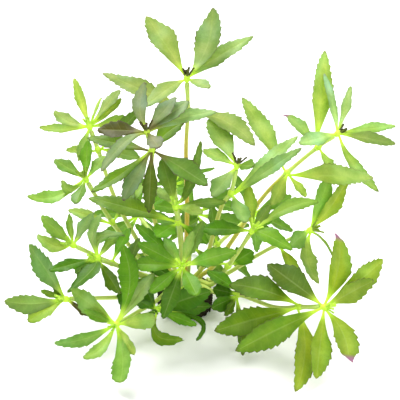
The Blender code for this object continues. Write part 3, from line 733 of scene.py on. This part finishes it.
def spread_at(share, widest, power):
    """A blade's width at a share of its length: a narrow stalk, broad past the middle, a tip."""
    if share < widest:
        rise = max(0.0, (share - STALK_END) / (widest - STALK_END))
        return math.sin(rise * math.pi / 2.0) ** STALK_POWER
    fall = (share - widest) / (1.0 - widest)
    return 1.0 - fall**power


def tip_power(tip):
    """How full a leaf's end is, by the place of its tip in the front view."""
    if tip in SQUARE_TIPS:
        return SQUARE_POWER
    if tip in BLUNT_TIPS:
        return BLUNT_POWER
    if tip in LONG_TIPS:
        return LONG_POWER
    return TIP_POWER


def clamp(value):
    """A value kept between 0 and 1."""
    return min(1.0, max(0.0, value))


def rows_of(teeth):
    """A blade's rows, each a share of its length, how far its tooth stands out, and its vein."""
    rows = [(share, 0.0, 0.0, (share - TEETH_START) * teeth) for share in STALK_ROWS]
    pitch = (TEETH_END - TEETH_START) / teeth
    for number in range(teeth):
        start = TEETH_START + number * pitch
        rows.append((start, 0.0, 0.0, number))
        rows.append((start + 0.42 * pitch, 0.5, 1.0, number + 0.42))
        rows.append((start + 0.82 * pitch, 1.0, 0.5, number + 0.82))
    rows.append((TEETH_END, 0.0, 0.0, teeth))
    rows.append((LAST_ROW, 0.0, 0.0, teeth + 0.5))
    return rows


class Surface:
    """Points, faces and the values that a material reads, gathered from many shapes."""

    def __init__(self):
        self.points = []
        self.faces = []
        self.under = []
        self.values = {"along": [], "across": [], "vein": [], "blush": [], "dry": [], "tint": []}

    def add(self, points, faces, under, **values):
        """Adds a closed shape; a value is one number for all of its points, or one for each."""
        shift = len(self.points)
        self.points.extend(points)
        self.faces.extend(tuple(index + shift for index in face) for face in faces)
        self.under.extend(under)
        for name, listed in self.values.items():
            given = values.get(name, 0.0)
            listed.extend(given if isinstance(given, list) else [given] * len(points))

    def finish(self, name, skin, sharp):
        """A smooth-shaded object with the gathered shapes."""
        mesh = bpy.data.meshes.new(name)
        mesh.from_pydata(self.points, [], self.faces)
        for key, listed in self.values.items():
            if key == "tint":
                made = mesh.attributes.new(key, "FLOAT_COLOR", "POINT")
                made.data.foreach_set("color", [part for tint in listed for part in (*tint, 1.0)])
            else:
                made = mesh.attributes.new(key, "FLOAT", "POINT")
                made.data.foreach_set("value", listed)
        made = mesh.attributes.new("under", "FLOAT", "FACE")
        made.data.foreach_set("value", self.under)
        mesh.materials.append(skin)
        mesh.shade_smooth()
        mesh.set_sharp_from_angle(angle=sharp)
        mesh.validate()
        piece = bpy.data.objects.new(name, mesh)
        bpy.context.scene.collection.objects.link(piece)
        return piece


def leaf_surface(surface, base, tip, axis, plan, tint, blush, dice, dry=0.0):
    """One toothed leaf: a closed thin blade with a groove above its midrib and a ridge below."""
    points = midrib(base, tip, axis, plan)
    length = (tip - base).length
    upper, wide = facing((tip - base).normalized(), axis, plan)
    wide = min(wide, max(plan["wide"], WIDEST_SHARE * length))
    teeth = max(3, min(TEETH_MOST, round(length * (TEETH_END - TEETH_START) / TOOTH_PITCH)))
    pitch = (TEETH_END - TEETH_START) / teeth
    columns = [-place for place in reversed(COLUMNS[1:])] + list(COLUMNS)
    columns = [-1.0] + columns + [1.0]
    tooth_deep = min(TOOTH_DEEP, TOOTH_SHARE * wide * 0.5)
    skews = (0.35 * pitch, 0.85 * pitch)
    wave = min(WAVE, 0.1 * wide)
    phases = (dice.uniform(0.0, 6.0), dice.uniform(0.0, 6.0))
    waves = dice.uniform(1.6, 2.8)
    twist = dice.uniform(-TWIST, TWIST)
    widest = WIDEST_AT + dice.uniform(-WIDEST_SWING, WIDEST_SWING)
    power = tip_power(plan.get("tip"))
    placed = []
    values = {"along": [], "across": [], "vein": []}
    for share, tooth, quilt, vein in rows_of(teeth):
        window = clamp((LAST_ROW - share) / 0.1) * clamp((share - 0.18) / 0.15)
        depths = (tooth * dice.uniform(0.6, 1.15), tooth * dice.uniform(0.6, 1.15))
        top = []
        bottom = []
        for column in columns:
            side = 0 if column < 0.0 else 1
            out = abs(column)
            here = share + skews[side] * out * window
            spread = spread_at(here, widest, power)
            place, direction = bend(points, here)
            normal = across_from(upper, direction)
            normal = Matrix.Rotation(twist * (here - 0.3), 3, direction) @ normal
            right = direction.cross(normal)
            half = STALK_WIDE * 0.5 * (1.0 - spread) + wide * 0.5 * spread
            half += tooth_deep * depths[side] * out**6 * window
            curl = dry * clamp((here - CURL_FROM) / (1.0 - CURL_FROM))
            half *= 1.0 - 0.6 * curl
            lift = half * FOLD * spread * out**1.4
            lift += wave * math.sin(math.tau * waves * here + phases[side]) * out**2 * spread
            lift += QUILT * quilt * math.sin(math.pi * out) * spread
            lift -= GROOVE * math.exp(-((column / 0.07) ** 2)) * spread
            stalk = STALK_THICK * 0.5 * math.sqrt(1.0 - out * out)
            flat = LEAF_THICK * 0.5 * math.sqrt(1.0 - out**8)
            thick = stalk * (1.0 - spread) + flat * spread
            rib = RIB_DEEP * math.exp(-((column / 0.09) ** 2)) * (1.0 - 0.7 * here)
            spot = place + right * (column * half - CURL * curl**2) + normal * lift
            top.append((spot + normal * thick, here, column))
            if out < 1.0:
                bottom.append((spot - normal * (thick + rib * spread), here, column))
        ring = top + bottom[::-1]
        sunk = min(entry[0].z for entry in ring) - FLOOR_CLEAR
        if sunk < 0.0:
            ring = [(spot - UP * sunk, here, column) for spot, here, column in ring]
        for spot, here, column in ring:
            placed.append(spot)
            values["along"].append(here)
            values["across"].append(column)
            values["vein"].append(float(vein))
    end = tip - right * CURL * dry
    end.z = max(end.z, FLOOR_CLEAR + LEAF_THICK * 0.5)
    placed.append(end)
    values["along"].append(1.0)
    values["across"].append(0.0)
    values["vein"].append(teeth + 0.5)
    around = 2 * len(columns) - 2
    rows = (len(placed) - 1) // around
    faces = [tuple(range(around))]
    under = [1.0]
    for row in range(rows):
        for corner in range(around):
            near = row * around + corner
            after = row * around + (corner + 1) % around
            if row < rows - 1:
                faces.append((near, near + around, after + around, after))
            else:
                faces.append((near, len(placed) - 1, after))
            under.append(0.0 if corner < len(columns) - 1 else 1.0)
    surface.add(placed, faces, under, tint=tint, blush=blush, dry=dry, **values)


def round_shape(centre, axis, profile, sides):
    """A shape turned about an axis, from (radius, height) pairs; it closes where a radius is 0."""
    placing = Matrix.Translation(centre) @ axis.to_track_quat("Z", "Y").to_matrix().to_4x4()
    points = []
    rings = []
    for radius, height in profile:
        count = sides if radius else 1
        rings.append(list(range(len(points), len(points) + count)))
        for side in range(count):
            angle = math.tau * side / sides
            spoke = Vector((math.cos(angle) * radius, math.sin(angle) * radius, height))
            points.append(placing @ spoke)
    faces = []
    for low, high in zip(rings, rings[1:]):
        for side in range(sides):
            after = (side + 1) % sides
            corners = [low[side % len(low)], low[after % len(low)],
                       high[after % len(high)], high[side % len(high)]]
            kept = [corner for index, corner in enumerate(corners)
                    if corner not in corners[:index]]
            faces.append(tuple(kept))
    return points, faces


def growing_tip(surface, whorl, tint, blush, dice):
    """The knob at a stem's end, with the youngest leaves still folded together on it."""
    axis = whorl["axis"]
    profile = [(0.0, -2.4 * MM)]
    for step in range(1, 8):
        angle = math.pi * step / 8.0
        profile.append((KNOB_RADIUS * math.sin(angle), -2.4 * MM * math.cos(angle)))
    profile.append((0.0, 2.4 * MM))
    points, faces = round_shape(whorl["centre"], axis, profile, 12)
    surface.add(points, faces, [0.0] * len(faces), along=0.12, across=0.3, vein=0.5,
                blush=blush * 0.3, tint=TINTS["young"])
    across = across_from(RIGHT, axis)
    other = axis.cross(across)
    for number in range(BUD_LEAVES):
        turn = math.tau * number * 0.382 + dice.uniform(-0.3, 0.3)
        lean = math.radians(52.0 + 5.0 * number)
        out = across * math.cos(turn) + other * math.sin(turn)
        direction = out * math.cos(lean) + axis * math.sin(lean)
        size = dice.uniform(0.75, 1.1) * (1.0 - 0.07 * number)
        base = whorl["centre"] + axis * 0.8 * MM + out * 0.5 * MM
        end = base + direction * BUD_LONG * size
        plan = {"wide": BUD_WIDE * size, "long": BUD_LONG, "bearing": 0.0}
        leaf_surface(surface, base, end, axis, plan, tint, blush, dice)


def clasping_ring(surface, whorl, blush):
    """The swelling round a stem where the leaves of a lower node clasp it."""
    radius = whorl["radius"]
    profile = []
    for step in range(7):
        share = step / 6.0
        swell = math.sin(math.pi * share)
        profile.append((radius * 0.8 + (0.2 * radius + 0.9 * MM) * swell,
                        (share - 0.5) * 5.0 * MM))
    profile = [(0.0, -2.5 * MM)] + profile + [(0.0, 2.5 * MM)]
    points, faces = round_shape(whorl["centre"], whorl["axis"], profile, 12)
    surface.add(points, faces, [0.0] * len(faces), along=0.12, across=0.3, vein=0.5,
                blush=blush * 0.3, tint=TINTS["young"])


def varied(tint, dice):
    """A tint a little lighter or darker, and a little yellower or bluer."""
    light = dice.uniform(0.9, 1.1)
    warm = dice.uniform(0.95, 1.05)
    return (tint[0] * light * warm, tint[1] * light, tint[2] * light / warm)


def make_whorl(whorl, skin):
    """The leaves of one growing tip or node, as one piece."""
    shoot_name = SHOOTS[whorl["stem"]]["name"]
    shoot_tint, blush, bud_tint = SHOOT_LOOKS[shoot_name]
    dice = random.Random(whorl["name"])
    surface = Surface()
    for entry in whorl["leaves"]:
        plan = entry["plan"]
        tint = varied(TINTS[TINT_OF.get(plan.get("tip"), shoot_tint)], dice)
        dry = 1.0 if plan.get("tip") in WITHERED_TIPS else 0.0
        leaf_surface(surface, entry["base"], entry["tip"], whorl["axis"], plan, tint,
                     blush * dice.uniform(0.6, 1.2), dice, dry)
    if whorl["radius"]:
        clasping_ring(surface, whorl, blush)
    else:
        growing_tip(surface, whorl, TINTS[bud_tint], blush if bud_tint == "bronze" else 0.0, dice)
    piece = surface.finish(whorl["name"].replace("_leaves", "_foliage"), skin, math.radians(50.0))
    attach(piece, "root")
    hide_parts(whorl["name"])


def make_stem(number, stem, whorls, skin):
    """A stem that swells at its nodes, from inside the root ball up to its growing tip."""
    samples = spline(SHOOTS[number]["route"], STEM_STEP)
    samples.insert(0, samples[0] - UP * 2.5 * MM)
    joints = [whorl["centre"] for whorl in whorls if whorl["stem"] == number and whorl["radius"]]
    surface = Surface()
    points = []
    shares = []
    nears = []
    for index, sample in enumerate(samples):
        share = index / (len(samples) - 1)
        axis = axis_at(samples, index)
        across = across_from(RIGHT, axis)
        other = axis.cross(across)
        gap = min([(sample - joint).length for joint in joints] or [1.0])
        near = math.exp(-((gap / NODE_REACH) ** 2))
        end_gap = (sample - samples[-1]).length
        near = max(near, math.exp(-((end_gap / (2.0 * NODE_REACH)) ** 2)))
        radius = radius_at(share) * (1.0 + NODE_SWELL * near)
        for side in range(STEM_SIDES):
            angle = math.tau * side / STEM_SIDES
            ridge = 1.0 + 0.05 * math.cos(4.0 * angle)
            spoke = across * math.cos(angle) + other * math.sin(angle)
            points.append(sample + spoke * radius * ridge)
            shares.append(share)
            nears.append(near)
    faces = [tuple(range(STEM_SIDES - 1, -1, -1))]
    for row in range(len(samples) - 1):
        for side in range(STEM_SIDES):
            near_corner = row * STEM_SIDES + side
            after = row * STEM_SIDES + (side + 1) % STEM_SIDES
            faces.append((near_corner, after, after + STEM_SIDES, near_corner + STEM_SIDES))
    last = (len(samples) - 1) * STEM_SIDES
    faces.append(tuple(range(last, last + STEM_SIDES)))
    ochre = OCHRE.get(stem["name"], FAINT_OCHRE)
    surface.add(points, faces, [0.0] * len(faces), along=shares, across=nears, vein=0.0,
                blush=ochre, tint=STEM_GREEN)
    piece = surface.finish(stem["name"] + "_stalk", skin, math.radians(50.0))
    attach(piece, "root")
    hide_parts(stem["name"] + "_stem")


def ball_radius_at(height):
    """The root ball's radius at a height."""
    share = clamp(height / BALL_HEIGHT)
    bulge = math.sin(math.pi * (0.18 + 0.62 * share))
    return BALL_TOP_RADIUS + (BALL_RADIUS - BALL_TOP_RADIUS) * bulge


def strand(surface, start_turn, start_height, dice):
    """One thin root that winds over the ball."""
    turn = start_turn
    height = start_height
    turn_step = dice.uniform(-0.12, 0.12)
    fall = -start_height / STRAND_STEPS * dice.uniform(0.5, 1.1)
    line = []
    for step in range(STRAND_STEPS):
        radius = ball_radius_at(height) + 0.25 * MM * math.sin(step * 1.3 + start_turn)
        line.append(Vector((radius * math.cos(turn), radius * math.sin(turn),
                            max(height, STRAND_RADIUS + FLOOR_CLEAR))))
        turn += turn_step + dice.uniform(-0.06, 0.06)
        height += fall + dice.uniform(-0.4, 0.4) * MM
    points = []
    for index, spot in enumerate(line):
        axis = axis_at(line, index)
        across = across_from(UP, axis)
        other = axis.cross(across)
        for side in range(5):
            angle = math.tau * side / 5
            points.append(spot + (across * math.cos(angle) + other * math.sin(angle))
                          * STRAND_RADIUS)
    faces = [tuple(range(4, -1, -1))]
    for row in range(len(line) - 1):
        for side in range(5):
            near = row * 5 + side
            after = row * 5 + (side + 1) % 5
            faces.append((near, after, after + 5, near + 5))
    last = (len(line) - 1) * 5
    faces.append(tuple(range(last, last + 5)))
    surface.add(points, faces, [0.0] * len(faces), along=1.0, across=0.0, vein=0.0, blush=0.0,
                tint=ROOT_BROWN_AND_SHADE)


def make_roots(skin):
    """The root ball, dark brown and darkened further as painted shade: a lumpy core wound over with thin
    roots.
    """
    dice = random.Random("roots")
    surface = Surface()
    profile = [(0.0, FLOOR_CLEAR)]
    rows = 12
    for row in range(rows + 1):
        height = BALL_HEIGHT * row / rows
        profile.append((ball_radius_at(height) - 0.6 * MM, max(height, FLOOR_CLEAR)))
    profile.append((0.0, BALL_HEIGHT + 0.6 * MM))
    points, faces = round_shape(Vector((0.0, 0.0, 0.0)), UP, profile, 40)
    lumpy = []
    for point in points:
        bump = noise.noise(point * 260.0) * 1.1 * MM
        out = Vector((point.x, point.y, 0.0))
        moved = point + (out.normalized() if out.length > 0.001 else UP) * bump
        moved.z = max(moved.z, FLOOR_CLEAR)
        lumpy.append(moved)
    surface.add(lumpy, faces, [0.0] * len(faces), along=0.0, across=0.0, vein=0.0, blush=0.0,
                tint=ROOT_DARK_AND_SHADE)
    for number in range(ROOT_STRANDS):
        strand(surface, math.tau * number / ROOT_STRANDS * 7.0,
               BALL_HEIGHT * dice.uniform(0.45, 1.0), dice)
    piece = surface.finish("root_mass", skin, math.radians(60.0))
    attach(piece, "root")
    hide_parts("root_ball")


class Nodes:
    """Short ways to add the nodes of one material."""

    def __init__(self, name):
        self.material = bpy.data.materials.new(name)
        self.material.use_nodes = True
        self.tree = self.material.node_tree
        self.shader = self.tree.nodes["Principled BSDF"]
        self.output = self.tree.nodes["Material Output"]

    def put(self, socket, value):
        """Links a socket to an output, or sets it to a number or colour."""
        if isinstance(value, bpy.types.NodeSocket):
            self.tree.links.new(value, socket)
        elif isinstance(value, tuple):
            socket.default_value = (*value, 1.0)
        else:
            socket.default_value = value

    def value(self, name):
        """A number that the mesh carries."""
        node = self.tree.nodes.new("ShaderNodeAttribute")
        node.attribute_name = name
        return node.outputs["Fac"]

    def colour(self, name):
        """A colour that the mesh carries."""
        node = self.tree.nodes.new("ShaderNodeAttribute")
        node.attribute_name = name
        return node.outputs["Color"]

    def maths(self, operation, first, second=0.0):
        """Arithmetic on one or two values."""
        node = self.tree.nodes.new("ShaderNodeMath")
        node.operation = operation
        self.put(node.inputs[0], first)
        self.put(node.inputs[1], second)
        return node.outputs[0]

    def ramp(self, value, low, high, start=0.0, end=1.0):
        """A smooth step from start to end as a value goes from low to high."""
        node = self.tree.nodes.new("ShaderNodeMapRange")
        node.interpolation_type = "SMOOTHSTEP"
        self.put(node.inputs["Value"], value)
        self.put(node.inputs["From Min"], low)
        self.put(node.inputs["From Max"], high)
        self.put(node.inputs["To Min"], start)
        self.put(node.inputs["To Max"], end)
        return node.outputs["Result"]

    def grain(self, scale, detail=3.0):
        """Noise that is fixed to the object, from 0 to 1."""
        place = self.tree.nodes.new("ShaderNodeTexCoord")
        node = self.tree.nodes.new("ShaderNodeTexNoise")
        self.put(node.inputs["Vector"], place.outputs["Object"])
        self.put(node.inputs["Scale"], scale)
        self.put(node.inputs["Detail"], detail)
        return node.outputs["Fac"]

    def mix(self, share, first, second, way="MIX"):
        """A colour between two others."""
        node = self.tree.nodes.new("ShaderNodeMix")
        node.data_type = "RGBA"
        node.blend_type = way
        self.put(node.inputs["Factor"], share)
        self.put(node.inputs["A"], first)
        self.put(node.inputs["B"], second)
        return node.outputs["Result"]

    def bump(self, height, distance, strength=1.0):
        """Relief from a height."""
        node = self.tree.nodes.new("ShaderNodeBump")
        self.put(node.inputs["Height"], height)
        self.put(node.inputs["Distance"], distance)
        self.put(node.inputs["Strength"], strength)
        return node.outputs["Normal"]


def leaf_skin():
    """Leaf: mottled green with faint veins, purplish margins, a paler underside, patches of painted sheen,
    a soft glow.
    """
    n = Nodes("leaf_skin")
    along = n.value("along")
    blush = n.value("blush")
    out = n.maths("ABSOLUTE", n.value("across"))
    step = n.maths("ABSOLUTE", n.maths("SUBTRACT", n.maths("FRACT", n.value("vein")), 0.5))
    on_blade = n.ramp(along, 0.22, 0.4)
    vein = n.maths("MULTIPLY", n.ramp(step, 0.34, 0.5), on_blade)
    vein = n.maths("MULTIPLY", vein, n.ramp(out, 0.98, 0.7))
    rib = n.ramp(out, 0.12, 0.02)
    blotch = n.grain(150.0)
    fine = n.grain(1100.0, 2.0)
    skin = n.colour("tint")
    skin = n.mix(n.ramp(blotch, 0.35, 0.7, 0.0, 0.7), skin, (0.66, 0.8, 0.5), "MULTIPLY")
    skin = n.mix(n.ramp(out, 0.2, 0.9, 0.0, 0.6), skin, (0.62, 0.78, 0.66), "MULTIPLY")
    skin = n.mix(n.ramp(along, 0.75, 0.2, 0.0, 0.35), skin, (1.35, 1.2, 0.85), "MULTIPLY")
    # Painted sheen: noise patches push the leaf colour towards blue-grey, standing in for a highlight
    skin = n.mix(n.ramp(n.grain(60.0, 1.0), 0.48, 0.7, 0.0, 0.75), skin, PAINTED_SHEEN, "MULTIPLY")
    skin = n.mix(n.ramp(fine, 0.3, 0.7, 0.0, 0.2), skin, (0.55, 0.62, 0.45), "MULTIPLY")
    skin = n.mix(n.maths("MULTIPLY", n.value("under"), 0.18), skin, (0.45, 0.56, 0.22))
    skin = n.mix(n.maths("MULTIPLY", vein, 0.03), skin, PALE_RIB)
    skin = n.mix(n.maths("MULTIPLY", rib, 0.14), skin, PALE_RIB)
    skin = n.mix(n.ramp(along, 0.27, 0.05, 0.0, 0.9), skin, STALK_GREEN)
    edge = n.maths("MULTIPLY", n.ramp(out, 0.9, 1.0), n.ramp(along, 0.25, 0.45))
    edge = n.maths("MAXIMUM", edge, n.ramp(along, 0.94, 1.0))
    edge = n.maths("MULTIPLY", edge, n.ramp(blotch, 0.3, 0.6, 0.3, 1.0))
    edge = n.maths("MULTIPLY", edge, n.ramp(blush, 0.0, 1.0, 0.22, 0.95))
    skin = n.mix(edge, skin, PURPLE_BROWN)
    foot = n.maths("MULTIPLY", n.ramp(along, 0.34, 0.1), n.ramp(blush, 0.5, 1.0, 0.0, 0.8))
    skin = n.mix(foot, skin, PURPLE_BROWN)
    dry = n.maths("MULTIPLY", n.ramp(along, 0.86, 0.95), n.value("dry"))
    skin = n.mix(dry, skin, WITHERED)
    relief = n.maths("ADD", n.maths("MULTIPLY", vein, -0.6), n.maths("MULTIPLY", fine, 0.25))
    normal = n.bump(relief, 0.12 * MM, 0.5)
    n.put(n.shader.inputs["Base Color"], skin)
    n.put(n.shader.inputs["Roughness"], n.ramp(blotch, 0.3, 0.7, 0.36, 0.5))
    n.put(n.shader.inputs["Specular IOR Level"], 0.22)
    n.put(n.shader.inputs["Normal"], normal)
    glow = n.tree.nodes.new("ShaderNodeBsdfTranslucent")
    n.put(glow.inputs["Color"], n.mix(1.0, skin, (1.45, 1.4, 0.7), "MULTIPLY"))
    n.put(glow.inputs["Normal"], normal)
    both = n.tree.nodes.new("ShaderNodeMixShader")
    n.put(both.inputs[0], 0.42)
    n.tree.links.new(n.shader.outputs[0], both.inputs[1])
    n.tree.links.new(glow.outputs[0], both.inputs[2])
    n.tree.links.new(both.outputs[0], n.output.inputs["Surface"])
    return n.material


def stem_skin():
    """Stem: ochre low down, lime towards its nodes and tip, with fine streaks along it."""
    n = Nodes("stem_skin")
    along = n.value("along")
    near = n.value("across")
    grain = n.grain(420.0)
    ochre = n.maths("SUBTRACT", n.ramp(along, 1.0, 0.5), near)
    ochre = n.maths("MULTIPLY", n.ramp(ochre, 0.0, 1.0), n.value("blush"))
    skin = n.mix(ochre, n.colour("tint"), STEM_OCHRE)
    skin = n.mix(n.ramp(grain, 0.35, 0.7, 0.0, 0.3), skin, (0.7, 0.75, 0.5), "MULTIPLY")
    n.put(n.shader.inputs["Base Color"], skin)
    n.put(n.shader.inputs["Roughness"], n.ramp(grain, 0.3, 0.7, 0.35, 0.5))
    n.put(n.shader.inputs["Normal"], n.bump(grain, 0.15 * MM, 0.6))
    n.put(n.shader.inputs["Subsurface Weight"], 0.15)
    n.put(n.shader.inputs["Subsurface Scale"], 1.0 * MM)
    return n.material


def root_skin():
    """Roots: matted, dark brown strands over a nearly black core, both darkened as painted shade."""
    n = Nodes("root_skin")
    grain = n.grain(900.0, 4.0)
    skin = n.mix(n.ramp(grain, 0.3, 0.7, 0.0, 0.6), n.colour("tint"), (0.35, 0.3, 0.25),
                 "MULTIPLY")
    n.put(n.shader.inputs["Base Color"], skin)
    n.put(n.shader.inputs["Roughness"], 0.9)
    n.put(n.shader.inputs["Specular IOR Level"], 0.1)
    n.put(n.shader.inputs["Normal"], n.bump(grain, 0.4 * MM, 0.9))
    return n.material


def make_camera():
    """The camera of the front view."""
    data = bpy.data.cameras.new("camera")
    data.sensor_width = 36.0
    data.lens = data.sensor_width * VIEW_DISTANCE / (2.0 * VIEW_MIDDLE[0] * VIEW_UNIT)
    data.clip_start = 0.01
    data.clip_end = 50.0
    camera = bpy.data.objects.new("camera", data)
    camera.location = EYE
    camera.rotation_mode = "QUATERNION"
    camera.rotation_quaternion = (-TOWARD).to_track_quat("-Z", "Y")
    bpy.context.scene.collection.objects.link(camera)
    bpy.context.scene.camera = camera


def make_floor():
    """A plain white floor that runs out of view."""
    mesh = bpy.data.meshes.new("floor")
    reach = 4.0
    corners = [(-reach, -reach, 0.0), (reach, -reach, 0.0), (reach, reach, 0.0),
               (-reach, reach, 0.0)]
    mesh.from_pydata(corners, [], [(0, 1, 2, 3)])
    floor = bpy.data.objects.new("floor", mesh)
    bpy.context.scene.collection.objects.link(floor)
    n = Nodes("floor_paint")
    n.put(n.shader.inputs["Base Color"], (0.93, 0.93, 0.92))
    n.put(n.shader.inputs["Roughness"], 0.9)
    mesh.materials.append(n.material)


def add_light(name, place, size, power):
    """A square soft light that faces the plant."""
    data = bpy.data.lights.new(name, "AREA")
    data.size = size
    data.energy = power
    light = bpy.data.objects.new(name, data)
    light.location = place
    light.rotation_mode = "QUATERNION"
    light.rotation_quaternion = (VIEW_CENTRE - light.location).to_track_quat("-Z", "Y")
    bpy.context.scene.collection.objects.link(light)


def make_light():
    """Bright soft light from all round, strongest from above and behind."""
    world = bpy.data.worlds.new("studio")
    world.use_nodes = True
    world.node_tree.nodes["Background"].inputs["Color"].default_value = (1.0, 1.0, 1.0, 1.0)
    world.node_tree.nodes["Background"].inputs["Strength"].default_value = 0.7
    bpy.context.scene.world = world
    add_light("key", Vector((-0.35, 0.45, 1.1)), 0.7, 22.0)
    add_light("fill", Vector((0.5, -0.9, 0.7)), 0.9, 8.0)
    bpy.context.scene.view_settings.view_transform = "Standard"


def make_plant():
    """Every piece of the plant."""
    skins = {"leaf": leaf_skin(), "stem": stem_skin(), "roots": root_skin()}
    stems, whorls = lay_out()
    make_roots(skins["roots"])
    for number, stem in enumerate(stems):
        make_stem(number, stem, whorls, skins["stem"])
    for whorl in whorls:
        make_whorl(whorl, skins["leaf"])


make_camera()
make_floor()
make_light()
make_plant()
